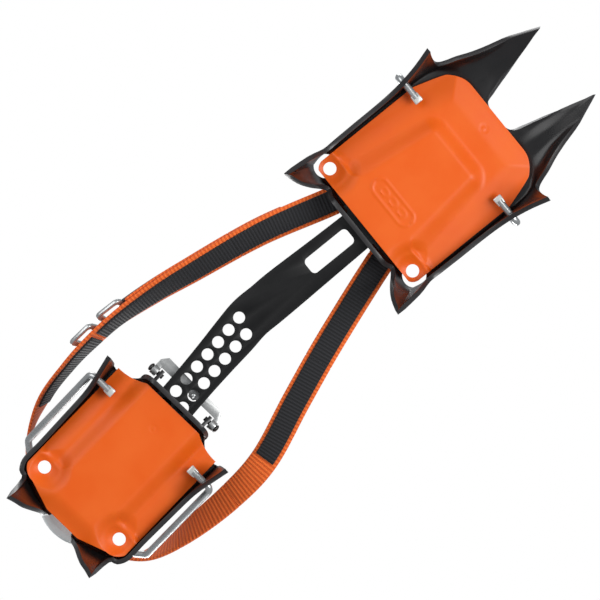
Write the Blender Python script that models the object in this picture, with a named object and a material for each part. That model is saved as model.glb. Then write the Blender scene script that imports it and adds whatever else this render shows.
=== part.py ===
"""A ten-point crampon for the right foot: stamped steel front and heel frames, moulded anti-balling
plates, a linking bar with a row of locking holes, wire bails, a heel lever and one safety strap.

Lengths are in millimetres and are turned to metres where a mesh is made. +Y points to the toe, +X to the
wearer's right, which is the foot's outer side, and +Z up. The points' tips stand on z = 0. The front section
is drawn about the middle of its plate's rear holes. The heel section is drawn the same way and then turned
and moved into place.
"""

import math

import bmesh
import bpy
from mathutils import Matrix, Vector

for leftover in list(bpy.data.objects):
    bpy.data.objects.remove(leftover, do_unlink=True)

MM = 0.001

# Driving dimensions
BOX_MIDDLE = (-10.52, -53.27)   # middle of the whole crampon's box, seen from the front section's own origin
HEEL_PLACE = (-19.8, -209.8)    # heel section's own origin, seen from the front section's
TIP_ALLOWANCE = 0.38            # what a tip's half thickness adds below the middle of its sheet
HEEL_TURN = -7.0                # degrees that the heel section is turned about z
SOLE_Z = 40.0                   # height of the boot's sole above the tips
SHEET = 2.5                     # steel of both frames
MIDDLE_Z = SOLE_Z - SHEET / 2   # middle of the frames' flat sheet
FOLD_RADIUS = 3.0               # of the fold from the flat sheet to the side rails
PLATE_WALL = 1.8                # moulded plates
PLATE_GAP = 0.7                 # between the plates and the sheet over them
PLATE_RIM_Z = SOLE_Z - SHEET - PLATE_GAP - PLATE_WALL
BAR_THICKNESS = 3.0
BAR_Z = 32.5                    # middle of the linking bar
BAR_TURN = 10.3                 # degrees that the bar bends sideways before its holes
HOLE_PITCH = 8.4
HOLE_RADIUS = 3.1
HOLES_IN_ROW = 10
PIN_Z = 29.0                    # height of both bails' pivots
TOE_PIN_Y = 58.0
HEEL_PIN_Y = 52.0
HEEL_BAIL_LIFT = 48.0           # degrees that the heel bail stands above level
WIRE = 3.8                      # bails
WEBBING = (15.0, 1.6)           # strap's width and thickness
SLEEVE = (11.0, 1.0)            # black webbing sewn under the strap
LAYER_GAP = 1.0                 # between one layer of webbing and the next

LEVER_MIDDLE_Y = 2.0            # centre of the curve of the heel lever, on the heel section
LEVER_RADIUS = 23.6
LEVER_WALL = 3.0
LEVER_HALF_ANGLE = 36.0
LEVER_Z = (82.0, 150.0)
SCREW_Y = -12.0


def material(name, hex_colour, roughness, metallic):
    """A Principled material; hex_colour is sRGB."""
    made = bpy.data.materials.new(name)
    made.use_nodes = True
    shader = made.node_tree.nodes["Principled BSDF"]
    channels = [int(hex_colour[n : n + 2], 16) / 255 for n in (0, 2, 4)]
    linear = [c / 12.92 if c <= 0.04045 else ((c + 0.055) / 1.055) ** 2.4 for c in channels]
    shader.inputs["Base Color"].default_value = (*linear, 1)
    shader.inputs["Roughness"].default_value = roughness
    shader.inputs["Metallic"].default_value = metallic
    return made


BLACK_STEEL = material("blackened_steel", "1C1C1E", 0.35, 0.6)
ORANGE_PLASTIC = material("orange_plastic", "EC6526", 0.42, 0.0)
BRIGHT_WIRE = material("bright_steel_wire", "A9AEB2", 0.3, 1.0)
SPRING_STEEL = material("spring_steel", "A8A8A8", 0.35, 0.9)
PALE_ALLOY = material("pale_alloy", "DADDDD", 0.4, 0.3)
ORANGE_WEBBING = material("orange_webbing", "EE6A2A", 0.85, 0.0)
BLACK_WEBBING = material("black_webbing", "202022", 0.9, 0.0)
GREY_TAPE = material("grey_tape", "4A4A4C", 0.8, 0.0)


def empty(name, place, turn=0.0, parent=None):
    made = bpy.data.objects.new(name, None)
    bpy.context.collection.objects.link(made)
    made.location = [v * MM for v in place]
    made.rotation_euler = (0, 0, math.radians(turn))
    made.parent = parent
    return made


WHOLE = empty("crampon", (-BOX_MIDDLE[0], -BOX_MIDDLE[1], TIP_ALLOWANCE))
FRONT = empty("front_section", (0, 0, 0), parent=WHOLE)
HEEL = empty("heel_section", (*HEEL_PLACE, 0), HEEL_TURN, WHOLE)


def finish(name, mesh_in_mm, finish_material, parent, pivot=(0, 0, 0), smooth=35.0):
    """Makes the object, with its origin on pivot, which is on the joint's axis where the piece moves."""
    bmesh.ops.recalc_face_normals(mesh_in_mm, faces=mesh_in_mm.faces)
    bmesh.ops.translate(mesh_in_mm, verts=mesh_in_mm.verts, vec=[-v for v in pivot])
    bmesh.ops.scale(mesh_in_mm, verts=mesh_in_mm.verts, vec=(MM, MM, MM))
    mesh = bpy.data.meshes.new(name)
    mesh_in_mm.to_mesh(mesh)
    mesh_in_mm.free()
    made = bpy.data.objects.new(name, mesh)
    bpy.context.collection.objects.link(made)
    made.location = [v * MM for v in pivot]
    made.parent = parent
    if finish_material is None:
        made.hide_render = True
        made.display_type = "WIRE"
    else:
        mesh.materials.append(finish_material)
        mesh.shade_smooth()
        mesh.set_sharp_from_angle(angle=math.radians(smooth))
    return made


def boolean(target, tool, operation="DIFFERENCE"):
    step = target.modifiers.new(tool.name, "BOOLEAN")
    step.operation = operation
    step.solver = "EXACT"
    step.object = tool


def through(points, steps, corners=()):
    """A smooth curve through the points, which may turn sharply at the points numbered in corners."""
    curve = []
    for n in range(len(points) - 1):
        here, after = points[n], points[n + 1]
        before = points[n - 1] if n > 0 and n not in corners else here
        beyond = points[n + 2] if n + 2 < len(points) and n + 1 not in corners else after
        for step in range(steps):
            t = step / steps
            weights = (
                -t + 2 * t**2 - t**3,
                2 - 5 * t**2 + 3 * t**3,
                t + 4 * t**2 - 3 * t**3,
                t**3 - t**2,
            )
            near = zip(before, here, after, beyond)
            curve.append(tuple(sum(w * v for w, v in zip(weights, four)) / 2 for four in near))
    curve.append(tuple(points[-1]))
    return curve


def rounded_route(corners, radii, steps):
    """The polyline through corners, with each inner corner rounded to its own radius."""
    route = [Vector(corners[0])]
    for n, radius in enumerate(radii, 1):
        corner = Vector(corners[n])
        back = (Vector(corners[n - 1]) - corner).normalized()
        ahead = (Vector(corners[n + 1]) - corner).normalized()
        half = math.pi / 2 - back.angle(ahead) / 2
        reach = radius * math.tan(half)
        centre = corner + (back + ahead).normalized() * radius / math.cos(half)
        start = corner + back * reach - centre
        end = corner + ahead * reach - centre
        for step in range(steps + 1):
            turned_by = 2 * half * step / steps
            swept = start * math.sin(2 * half - turned_by) + end * math.sin(turned_by)
            route.append(centre + swept / math.sin(2 * half))
    route.append(Vector(corners[-1]))
    return route


def skin(rings):
    """A closed solid over rings of points, each with the same number of points."""
    mesh = bmesh.new()
    rows = [[mesh.verts.new(point) for point in ring] for ring in rings]
    count = len(rows[0])
    for row, following in zip(rows, rows[1:]):
        for n in range(count):
            mesh.faces.new((row[n], row[(n + 1) % count], following[(n + 1) % count], following[n]))
    mesh.faces.new(rows[0][::-1])
    mesh.faces.new(rows[-1])
    return mesh


def slab(outline, low, high):
    """An upright slab with the outline of (x, y) points, from z = low to high."""
    return skin([[(x, y, z) for x, y in outline] for z in (low, high)])


def block(low, high):
    return slab([(low[0], low[1]), (high[0], low[1]), (high[0], high[1]), (low[0], high[1])], low[2], high[2])


def turned(start, direction, profile, sides=16):
    """A turned piece; profile lists (distance along the direction, radius) from one end to the other."""
    start, along = Vector(start), Vector(direction).normalized()
    aside = along.orthogonal().normalized()
    across = along.cross(aside)
    turns = [2 * math.pi * n / sides for n in range(sides)]
    rings = []
    for distance, radius in profile:
        middle = start + along * distance
        rings.append([middle + (aside * math.cos(a) + across * math.sin(a)) * radius for a in turns])
    return skin(rings)


def rod(start, end, radius, sides=16):
    length = (Vector(end) - Vector(start)).length
    return turned(start, Vector(end) - Vector(start), ((0, radius), (length, radius)), sides)


def join(first, second):
    """Adds the second mesh to the first as a separate body; a Boolean makes them one."""
    carried = bpy.data.meshes.new("carried")
    second.to_mesh(carried)
    second.free()
    first.from_mesh(carried)
    bpy.data.meshes.remove(carried)
    return first


def cutter(name, mesh_in_mm, parent):
    return finish(name, mesh_in_mm, None, parent)


# Frames: a flat ring of sheet, folded down all round into rails and points. Each station gives the ring's
# inner edge, the fold and the lower edge, on the middle of the sheet, from the front middle round to the
# rear middle of one half.
BLEND = (1 / 3, 2 / 3)


def frame_column(station):
    """The points from the ring's inner edge, over the fold, to the lower edge."""
    inner = Vector((station[0], station[1], MIDDLE_Z))
    fold = Vector((station[2], station[3], MIDDLE_Z))
    edge = Vector(station[4:7])
    bow = station[7]
    radius = min(FOLD_RADIUS, 0.45 * (edge - fold).length, 0.6 * (fold - inner).length)
    start = fold + (inner - fold).normalized() * radius
    end = fold + (edge - fold).normalized() * radius
    column = [inner, start]
    column += [start * (1 - t) ** 2 + fold * 2 * t * (1 - t) + end * t**2 for t in BLEND]
    column += [end, (end + edge) / 2 + Vector((0, 0, bow)), edge]
    return column


def folded_frame(name, stations, tips, parent):
    half = through(stations, 1, tips)
    columns = [frame_column(station) for station in half]
    mirrored = [[Vector((-p.x, p.y, p.z)) for p in column] for column in columns[-2:0:-1]]
    columns += mirrored
    mesh = bmesh.new()
    rows = [[mesh.verts.new(point) for point in column] for column in columns]
    for here, following in zip(rows, rows[1:] + rows[:1]):
        for n in range(len(here) - 1):
            mesh.faces.new((here[n], following[n], following[n + 1], here[n + 1]))
    frame = finish(name, mesh, BLACK_STEEL, parent)
    wall = frame.modifiers.new("sheet", "SOLIDIFY")
    wall.thickness = SHEET * MM
    wall.offset = 0
    return frame


FRONT_STATIONS = [
    # inner edge, fold, lower edge x y z, bow
    (0, 70, 0, 80, 0, 84.4, 38.6, 0),
    (5, 70, 5, 80, 6.5, 84.6, 38.6, 0),
    (8, 70, 9, 81.5, 10.4, 87.4, 38.2, 0),
    (11, 70, 12.5, 83, 13.4, 98, 36.8, 0.5),
    (13.5, 70, 16, 84, 17.4, 113, 32, 1.5),
    (16, 70, 20, 84.5, 22.4, 131, 22, 2.5),
    (19, 70, 24, 84.5, 25.5, 123.3, 24.5, 2.2),
    (21.5, 69.5, 27.5, 84, 28.5, 115.5, 27, 1.8),
    (24, 69, 31, 83, 31.4, 104, 28.5, 1),
    (26, 68, 34, 81.5, 34.2, 95, 29, 0.5),
    (27.5, 66.5, 36.6, 79.5, 37.4, 87.3, 30, 0),
    (29, 65, 38.6, 77.5, 39.4, 81.2, 32.5, 0),
    (30, 63, 40.4, 75, 41.4, 77.6, 33, 0),
    (30.8, 60.5, 41.8, 71.5, 44.4, 77.2, 22, 0),
    (31.3, 58, 42.3, 68, 49.6, 78.4, 0, 0),
    (31.6, 54, 42.7, 63, 46.8, 68.5, 9.5, 0),
    (31.8, 50, 42.9, 57, 44.9, 58.5, 19, 0),
    (32, 45, 43.1, 49, 43.9, 49, 25.5, 0),
    (32, 36, 43.2, 38, 43.5, 38, 27, 0),
    (32, 24, 43.1, 24, 43.4, 24, 27, 0),
    (31.6, 14, 42.9, 12, 43.2, 11, 27, 0),
    (30.8, 10, 42.9, 6, 43.1, 3.5, 24.5, 0),
    (30, 8, 42.9, 0.5, 45.0, -5.0, 13, 0),
    (28.5, 6, 41.4, -4.8, 46.2, -19.6, 0, 0),
    (26, 5, 38.2, -7.2, 38.6, -17.0, 9.5, 0),
    (23.5, 4.4, 34, -7.9, 33.2, -13.2, 20, 0),
    (21, 4.1, 30, -7.9, 29.4, -9.3, 29, 0),
    (18.5, 4, 26.2, -7.1, 26.2, -7.3, 33, 0),
    (15.5, 4, 22.6, -8.2, 22.8, -8.8, 29, 0),
    (12, 4, 18, -8.9, 18, -9.25, 25, 0),
    (0, 4, 0, -8.9, 0, -9.25, 25, 0),
]
FRONT_TIPS = (5, 14, 23)
BAR_SLOT_HEIGHT = 5.2
BAR_SLOT_HALF = 12.2
BAR_HINGE_Y = -9.25

front_frame = folded_frame("front_frame", FRONT_STATIONS, FRONT_TIPS, FRONT)
boolean(
    front_frame,
    cutter("front_cross_member", block((-34, 32, 37.75), (34, 46, 39.75)), FRONT),
    "UNION",
)
boolean(
    front_frame,
    cutter(
        "front_bar_slot",
        block(
            (-BAR_SLOT_HALF, -14, BAR_Z - BAR_SLOT_HEIGHT / 2),
            (BAR_SLOT_HALF, -4, BAR_Z + BAR_SLOT_HEIGHT / 2),
        ),
        FRONT,
    ),
)
for side, label in ((1, "right"), (-1, "left")):
    pin_hole = rod((side * 36, TOE_PIN_Y, PIN_Z), (side * 55, TOE_PIN_Y, PIN_Z), 2.4)
    boolean(front_frame, cutter("toe_pin_hole_" + label, pin_hole, FRONT))
    ear_opening = rod((side * 36.6, -0.8, 34), (side * 36.6, -0.8, 44), 6.3, 20)
    boolean(front_frame, cutter("ear_opening_" + label, ear_opening, FRONT))

HEEL_STATIONS = [
    (0, 57, 0, 71.4, 0, 71.7, 25, 0),
    (8, 57, 12, 71.4, 12, 71.7, 25, 0),
    (13, 57, 18, 71.2, 18.4, 71.5, 25.5, 0),
    (15.5, 56.5, 20.6, 70.4, 21.2, 70.9, 31, 0),
    (17, 56, 22.2, 69, 22.6, 69.6, 36, 0),
    (18.5, 55.5, 23, 65.5, 23.8, 67.2, 38.6, 0),
    (20.5, 54, 28, 61.5, 28.6, 63.4, 38.6, 0),
    (22.5, 52, 33, 60.5, 34.2, 62.4, 38.4, 0),
    (22.9, 51.5, 36.2, 60.8, 37.2, 62.6, 38.4, 0),
    (23.4, 51, 38.2, 61.6, 38.9, 63.4, 33, 0),
    (24.2, 49.5, 38.3, 60.2, 39.9, 64.4, 22, 0),
    (25, 47.5, 38, 57.5, 42.4, 65, 0, 0),
    (25.8, 44.5, 38, 54, 40.6, 56.5, 10, 0),
    (26.3, 41, 37.9, 48, 39, 49, 20, 0),
    (26.6, 36, 37.7, 41, 38, 41, 27, 0),
    (26.6, 26, 37.4, 28, 37.6, 28, 28, 0),
    (26.2, 16, 37.1, 16, 37.3, 16, 29, 0),
    (25.5, 10, 36.9, 7, 37.1, 7, 29.5, 0),
    (24, 7.2, 37, 1.2, 37.2, 1, 30.5, 0),
    (22.8, 5.8, 36.7, -4.3, 37.0, -4.7, 31, 0),
    (21.2, 4.8, 34.2, -8.5, 34.6, -9.2, 31, 0),
    (19.5, 3.8, 30.2, -10.8, 30.6, -11.6, 29, 0),
    (17.6, 3, 27.2, -11.8, 29.6, -23.6, 0, 0),
    (15.6, 2.4, 23.6, -13, 25.2, -22.4, 4.5, 0),
    (13.6, 2, 19.6, -14.4, 20.4, -21.4, 9, 0),
    (11.5, 1.6, 15.8, -15.6, 13.8, -18.4, 22, 0),
    (9, 1.2, 11.8, -17.2, 10.8, -17.8, 34, 0),
    (7.4, 1.1, 8.8, -15.4, 8.6, -17, 38.5, 0),
    (5, 1, 6, -12, 6, -14, 38.6, 0),
    (0, 1, 0, -12, 0, -14, 38.6, 0),
]
HEEL_TIPS = (11, 22)
CLIP_AXIS = (76.2, 36.8)        # y and z of the clip's pivots
EAR_X = (16.2, 18.2)

heel_frame = folded_frame("heel_frame", HEEL_STATIONS, HEEL_TIPS, HEEL)
boolean(
    heel_frame,
    cutter("heel_cross_member", block((-28, 26, 37.75), (28, 38, 39.75)), HEEL),
    "UNION",
)
for side, label in ((1, "right"), (-1, "left")):
    ear = slab(
        [(side * EAR_X[0], 70.8), (side * EAR_X[1], 70.8), (side * EAR_X[1], 79), (side * EAR_X[0], 79)],
        33.5,
        39.4,
    )
    boolean(heel_frame, cutter("clip_ear_" + label, ear, HEEL), "UNION")
boolean(
    heel_frame,
    cutter(
        "heel_bar_slot",
        block((-12.8, 66, BAR_Z - BAR_SLOT_HEIGHT / 2), (12.8, 76, BAR_Z + BAR_SLOT_HEIGHT / 2)),
        HEEL,
    ),
)
for side, label in ((1, "right"), (-1, "left")):
    pin_hole = rod((side * 30, HEEL_PIN_Y, PIN_Z), (side * 50, HEEL_PIN_Y, PIN_Z), 2.4)
    boolean(heel_frame, cutter("heel_pin_hole_" + label, pin_hole, HEEL))
    plate_hole = rod((side * 27, 0, 34), (side * 27, 0, 44), 4.3, 20)
    boolean(heel_frame, cutter("heel_plate_hole_" + label, plate_hole, HEEL))
    rivet_hole = rod((side * 14, *CLIP_AXIS), (side * 20, *CLIP_AXIS), 1.7)
    boolean(heel_frame, cutter("rivet_hole_" + label, rivet_hole, HEEL))


# Anti-balling plates: a moulded shell with a flat rim under the frame and a stepped dome below it.
def ramp(distance, run):
    """0 outside, 1 inside, with a smooth slope run wide; distance is positive inside."""
    t = min(max(distance / run + 0.5, 0), 1)
    return t * t * (3 - 2 * t)


def moulded_plate(name, half_width, rear_edge, front_edge, dome, columns, rows, parent):
    """A shell whose lower face is dome(x, y) below the rim."""
    lower, upper = [], []
    mesh = bmesh.new()
    for c in range(columns + 1):
        share = -1 + 2 * c / columns
        x = half_width * math.sin(share * math.pi / 2) * 0.35 + half_width * share * 0.65
        rear, front = rear_edge(abs(x)), front_edge(abs(x))
        lower.append([])
        upper.append([])
        for r in range(rows + 1):
            share = r / rows
            y = rear + (front - rear) * (share - 0.06 * math.sin(share * 2 * math.pi))
            z = PLATE_RIM_Z - dome(abs(x), y)
            lower[-1].append(mesh.verts.new((x, y, z)))
            upper[-1].append(mesh.verts.new((x, y, z + PLATE_WALL)))
    for sheet in (lower, upper):
        for here, following in zip(sheet, sheet[1:]):
            for r in range(rows):
                mesh.faces.new((here[r], following[r], following[r + 1], here[r + 1]))
    edge_low, edge_high = [
        sheet[0] + [column[-1] for column in sheet[1:]] + sheet[-1][-2::-1] + [c[0] for c in sheet[-2:0:-1]]
        for sheet in (lower, upper)
    ]
    count = len(edge_low)
    for n in range(count):
        mesh.faces.new((edge_low[n], edge_low[(n + 1) % count], edge_high[(n + 1) % count], edge_high[n]))
    return finish(name, mesh, ORANGE_PLASTIC, parent, smooth=50)


def front_plate_rear(x):
    return -5.1 if x < 37 else -math.sqrt(max(5.9**2 - (x - 34.2) ** 2, 0))


def front_plate_front(x):
    if x < 21:
        return 84.6
    if x < 34:
        return 84.6 - 6.6 * ((x - 21) / 13) ** 2.2
    return 78 - 18 * ((x - 34) / 6) ** 1.15


def front_dome(x, y):
    from_hole = math.hypot(x - 34.2, y)
    base = min(33.5 - 0.16 * max(y - 9, 0) - x, 73 - y, from_hole - 13.5)
    raised = min(20.5 - 0.12 * (y - 10) - x, 61 - y)
    return 5.0 * ramp(base, 5) + 4.2 * ramp(raised, 6)


def heel_plate_rear(x):
    if x < 11:
        return -14.8
    if x < 26.6:
        return -14.8 + 5.4 * (x - 11) / 15.6
    return -math.sqrt(max(9.4**2 - (x - 26.6) ** 2, 0))


def heel_plate_front(x):
    if x < 18.7:
        return 68.4
    share = (x - 18.7) / 16.4
    return 68.4 - 4.5 * share - 5.2 * share * (1 - share)


def heel_dome(x, y):
    from_hole = math.hypot(x - 27, y)
    base = min(32 - x, y + 11, from_hole - 8)
    raised = min(18.5 - x, 90 - y)
    return 3.0 * ramp(base, 5) + 5.8 * ramp(raised, 7)


front_plate = moulded_plate(
    "front_antiball_plate", 40.0, front_plate_rear, front_plate_front, front_dome, 20, 22, FRONT
)
heel_plate = moulded_plate(
    "heel_antiball_plate", 35.1, heel_plate_rear, heel_plate_front, heel_dome, 20, 20, HEEL
)
for plate, x, y, parent in ((front_plate, 34.2, 0, FRONT), (heel_plate, 27, 0, HEEL)):
    for side, label in ((1, "right"), (-1, "left")):
        hole = rod((side * x, y, 30), (side * x, y, 40), 3.45, 20)
        boolean(plate, cutter(plate.name + "_hole_" + label, hole, parent))


# Bails: one wire each, with its flattened ends held inside the side rails.
def wire(name, half_route, flat_normal, flats, parent, pivot):
    """A wire bent the same on both sides. flats gives, for each leading point, half its width and height."""
    route = half_route + [Vector((-p.x, p.y, p.z)) for p in half_route[::-1]]
    rings = []
    last = len(route) - 1
    for n, point in enumerate(route):
        before, after = route[max(n - 1, 0)], route[min(n + 1, last)]
        along = (after - before).normalized()
        across = along.cross(flat_normal)
        wide, thin = flats.get(min(n, last - n), (WIRE / 2, WIRE / 2))
        turns = [2 * math.pi * (k + 0.5) / 10 for k in range(10)]
        rings.append([point + flat_normal * wide * math.cos(a) + across * thin * math.sin(a) for a in turns])
    return finish(name, skin(rings), BRIGHT_WIRE, parent, pivot, 60)


TOE_BAIL_TOP = 88.0
toe_route = [Vector((x, TOE_PIN_Y, PIN_Z)) for x in (33.6, 36.8, 38.6)]
toe_route += rounded_route(
    [
        (41, TOE_PIN_Y, PIN_Z),
        (48.6, TOE_PIN_Y, PIN_Z),
        (48.6, TOE_PIN_Y, 68),
        (29, TOE_PIN_Y, TOE_BAIL_TOP),
        (2, TOE_PIN_Y, TOE_BAIL_TOP),
    ],
    (3.0, 12.0, 8.0),
    4,
)
HEAD = {0: (2.3, 0.9), 1: (2.1, 1.0), 2: (1.7, 1.5)}
wire("toe_bail", toe_route, Vector((0, 1, 0)), HEAD, FRONT, (0, TOE_PIN_Y, PIN_Z))

lift = math.radians(HEEL_BAIL_LIFT)


def on_bail(x, y):
    """The point of the heel bail's plane above (x, y)."""
    return Vector((x, y, PIN_Z + (HEEL_PIN_Y - y) * math.tan(lift)))


heel_route = [Vector((x, HEEL_PIN_Y, PIN_Z)) for x in (29.6, 32.6, 34.4)]
heel_route += rounded_route(
    [
        (36.5, HEEL_PIN_Y, PIN_Z),
        (43.2, HEEL_PIN_Y, PIN_Z),
        on_bail(43.2, 3.4),
        on_bail(24, -12),
        on_bail(2, -12),
    ],
    (3.0, 5.0, 4.5),
    4,
)
bail_normal = Vector((0, math.sin(lift), math.cos(lift)))
wire("heel_bail", heel_route, bail_normal, HEAD, HEEL, (0, HEEL_PIN_Y, PIN_Z))
CROSSBAR = on_bail(0, SCREW_Y)

# Linking bar: a flat strip with a T head behind the front frame's slot, a window, and two staggered rows.
bar_turn = math.radians(BAR_TURN)
BAR_ALONG = Vector((-math.sin(bar_turn), -math.cos(bar_turn)))
BAR_ASIDE = Vector((math.cos(bar_turn), -math.sin(bar_turn)))
BAR_OFFSET = 14.71              # the straight run's distance from the front section's origin, measured aside
BAR_END = 171.0
BAR_HALF = (10.65, 12.0, 10.65)


def bar_place(run, aside):
    """A point of the bar's rear straight run, at its distance along the run and aside."""
    return BAR_ALONG * run + BAR_ASIDE * (BAR_OFFSET + aside)


right_edge, left_edge = [], []
middle_line = [(Vector((0.4, -8.0)), 10.65), (Vector((0.4, -30.0)), 11.2), (Vector((0.5, -58.0)), 12.0)]
middle_line += [(Vector((0.3, -70.0)), 12.0), (bar_place(80, 0), 12.0), (bar_place(92, 0), 11.8)]
middle_line += [(bar_place(108, 0), 11.1), (bar_place(128, 0), 10.65), (bar_place(BAR_END, 0), 10.65)]
for n, (middle, half) in enumerate(middle_line):
    before = middle_line[max(n - 1, 0)][0]
    after = middle_line[min(n + 1, len(middle_line) - 1)][0]
    along = (after - before).normalized()
    aside = Vector((-along.y, along.x))
    right_edge.append(middle + aside * half)
    left_edge.append(middle - aside * half)
HEAD_OUTLINE = ((10.65, -7.5), (14.6, -7.5), (14.6, -3.2), (-14.6, -3.2), (-14.6, -7.5), (-10.65, -7.5))
head = [Vector(corner) for corner in HEAD_OUTLINE]
bar_outline = left_edge[::-1][:-1] + [left_edge[0]] + head[::-1] + right_edge
bar_mesh = slab([(p.x, p.y) for p in bar_outline], BAR_Z - BAR_THICKNESS / 2, BAR_Z + BAR_THICKNESS / 2)
bar = finish("linking_bar", bar_mesh, BLACK_STEEL, FRONT, (0, BAR_HINGE_Y, BAR_Z))
WINDOW = ((-13.2, 4.2), (-41.2, 5.0))
window_corners = []
for y, half, sign in ((WINDOW[0][0], WINDOW[0][1], 1), (WINDOW[1][0], WINDOW[1][1], -1)):
    for side in (sign, -sign):
        centre = Vector((1.0 + side * (half - 2.5), y - sign * 2.5))
        for step in range(4):
            turn = math.pi / 2 * step / 3
            if side == sign:
                point = Vector((side * math.cos(turn), sign * math.sin(turn)))
            else:
                point = Vector((side * math.sin(turn), sign * math.cos(turn)))
            window_corners.append(centre + point * 2.5)
window = slab([(p.x, p.y) for p in window_corners], BAR_Z - 4, BAR_Z + 4)
boolean(bar, cutter("bar_window", window, FRONT))
ROW_STARTS = ((83.4, 4.2), (87.6, -4.2))
holes = bmesh.new()
for start, aside in ROW_STARTS:
    for n in range(HOLES_IN_ROW):
        place = bar_place(start + n * HOLE_PITCH, aside)
        join(holes, rod((place.x, place.y, BAR_Z - 4), (place.x, place.y, BAR_Z + 4), HOLE_RADIUS, 14))
boolean(bar, cutter("bar_holes", holes, FRONT))

# Adjuster clip: a flat spring-steel loop over the bar, hung on two rivets in the bridge's ears.
heel_turned = Matrix.Rotation(math.radians(HEEL_TURN), 4, "Z")
heel_inverse = (Matrix.Translation((*HEEL_PLACE, 0)) @ heel_turned).inverted()
peg_front = bar_place(ROW_STARTS[1][0] + 5 * HOLE_PITCH, ROW_STARTS[1][1])
PEG = heel_inverse @ Vector((peg_front.x, peg_front.y, 0))
CLIP_LOW, CLIP_HIGH = 36.1, 37.5
RIVET = ((0, 1.35), (7.6, 1.35), (7.7, 2.3), (8.5, 2.2), (9.0, 1.4))
clip_outline = [
    (22.4, 78.4),
    (22.4, 82.6),
    (19.6, 86),
    (-18.8, 84.6),
    (-20.6, 82.6),
    (-22.4, 78.4),
    (-18.9, 78.4),
    (-18.9, 79.6),
    (PEG.x - 2.4, 79.6),
    (PEG.x - 1.6, PEG.y - 2.2),
    (PEG.x + 1.6, PEG.y - 2.2),
    (PEG.x + 2.4, 79.6),
    (18.9, 79.6),
    (18.9, 78.4),
]
clip = finish("adjuster_clip", slab(clip_outline, CLIP_LOW, CLIP_HIGH), SPRING_STEEL, HEEL, (0, *CLIP_AXIS))
for side, label in ((1, "right"), (-1, "left")):
    eye = rod((side * 18.9, *CLIP_AXIS), (side * 22.4, *CLIP_AXIS), 2.7)
    boolean(clip, cutter("clip_eye_" + label, eye, HEEL), "UNION")
    eye_hole = rod((side * 15, *CLIP_AXIS), (side * 26, *CLIP_AXIS), 1.7)
    boolean(clip, cutter("clip_eye_hole_" + label, eye_hole, HEEL))
    rivet = turned((side * 15.2, *CLIP_AXIS), (side, 0, 0), RIVET, 14)
    finish("clip_rivet_" + label, rivet, BRIGHT_WIRE, HEEL)
finish(
    "adjuster_peg",
    turned((PEG.x, PEG.y, CLIP_LOW - 0.3), (0, 0, -1), ((0, 1.3), (3.0, 1.3), (3.6, 0.9)), 14),
    BRIGHT_WIRE,
    HEEL,
    (0, *CLIP_AXIS),
)

# Heel lever: a curved pale lever on the bail's crossbar, with a shelf that carries the fine adjuster.
def arc_slab(radius_out, radius_in, half_angle, low, high, steps=12):
    turns = [math.radians(-half_angle + 2 * half_angle * n / steps) for n in range(steps + 1)]
    outer = [(radius_out * math.sin(a), LEVER_MIDDLE_Y - radius_out * math.cos(a)) for a in turns]
    inner = [(radius_in * math.sin(a), LEVER_MIDDLE_Y - radius_in * math.cos(a)) for a in turns[::-1]]
    return slab(outer + inner, low, high)


LEVER_PIVOT = (0, SCREW_Y, CROSSBAR.z)
lever = finish(
    "heel_lever",
    arc_slab(LEVER_RADIUS, LEVER_RADIUS - LEVER_WALL, LEVER_HALF_ANGLE, *LEVER_Z),
    PALE_ALLOY,
    HEEL,
    LEVER_PIVOT,
)
shelf = arc_slab(LEVER_RADIUS - 0.5, 10.0, LEVER_HALF_ANGLE - 1, LEVER_Z[0] + 0.2, LEVER_Z[0] + 3.2, 8)
boolean(lever, cutter("lever_shelf", shelf, HEEL), "UNION")
for side, label in ((1, "right"), (-1, "left")):
    lug = skin(
        [
            [(x, -17.2, 94), (x, -9.0, 99), (x, -9.0, 105), (x, -17.2, 110)]
            for x in (side * 9.4, side * 11.6)
        ]
    )
    boolean(lever, cutter("lever_lug_" + label, lug, HEEL), "UNION")
pivot_hole = rod((-14, SCREW_Y, CROSSBAR.z), (14, SCREW_Y, CROSSBAR.z), 2.3)
boolean(lever, cutter("lever_pivot_hole", pivot_hole, HEEL))
screw_seat = rod((0, SCREW_Y, LEVER_Z[0] + 1.2), (0, SCREW_Y, LEVER_Z[0] + 6), 2.3)
boolean(lever, cutter("screw_seat", screw_seat, HEEL))
lip = arc_slab(LEVER_RADIUS + 2.2, LEVER_RADIUS - 1, 24, LEVER_Z[1] - 4, LEVER_Z[1] - 0.4, 8)
boolean(lever, cutter("lever_finger_lip", lip, HEEL), "UNION")

# Fine adjuster: a knurled wheel on a screw, which carries the cradle up and down.
WHEEL_Z = (85.5, 88.5)
CRADLE_Z = (90.2, 96.2)
SCREW_RADIUS = 1.9
screw_mesh = rod((0, SCREW_Y, LEVER_Z[0] + 1.6), (0, SCREW_Y, 97.6), SCREW_RADIUS, 14)
finish("adjuster_screw", screw_mesh, BRIGHT_WIRE, HEEL, (0, SCREW_Y, CRADLE_Z[0]))
teeth = 18
wheel_outline = []
for n in range(teeth * 2):
    radius = 5.6 if n % 2 else 6.2
    turn = 2 * math.pi * n / (teeth * 2)
    wheel_outline.append((radius * math.cos(turn), SCREW_Y + radius * math.sin(turn)))
wheel = finish("adjuster_wheel", slab(wheel_outline, *WHEEL_Z), PALE_ALLOY, HEEL, (0, SCREW_Y, CRADLE_Z[0]))
boolean(wheel, cutter("wheel_hole", rod((0, SCREW_Y, 80), (0, SCREW_Y, 92), SCREW_RADIUS + 0.35), HEEL))
cradle_half = [(7.4, -15.0), (8.6, -12), (8.6, -3.2), (5, -5.0)]
cradle_outline = cradle_half + [(0, -5.8)] + [(-x, y) for x, y in cradle_half[::-1]]
cradle = finish("heel_cradle", slab(cradle_outline, *CRADLE_Z), GREY_TAPE, HEEL, (0, SCREW_Y, CRADLE_Z[0]))
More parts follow.
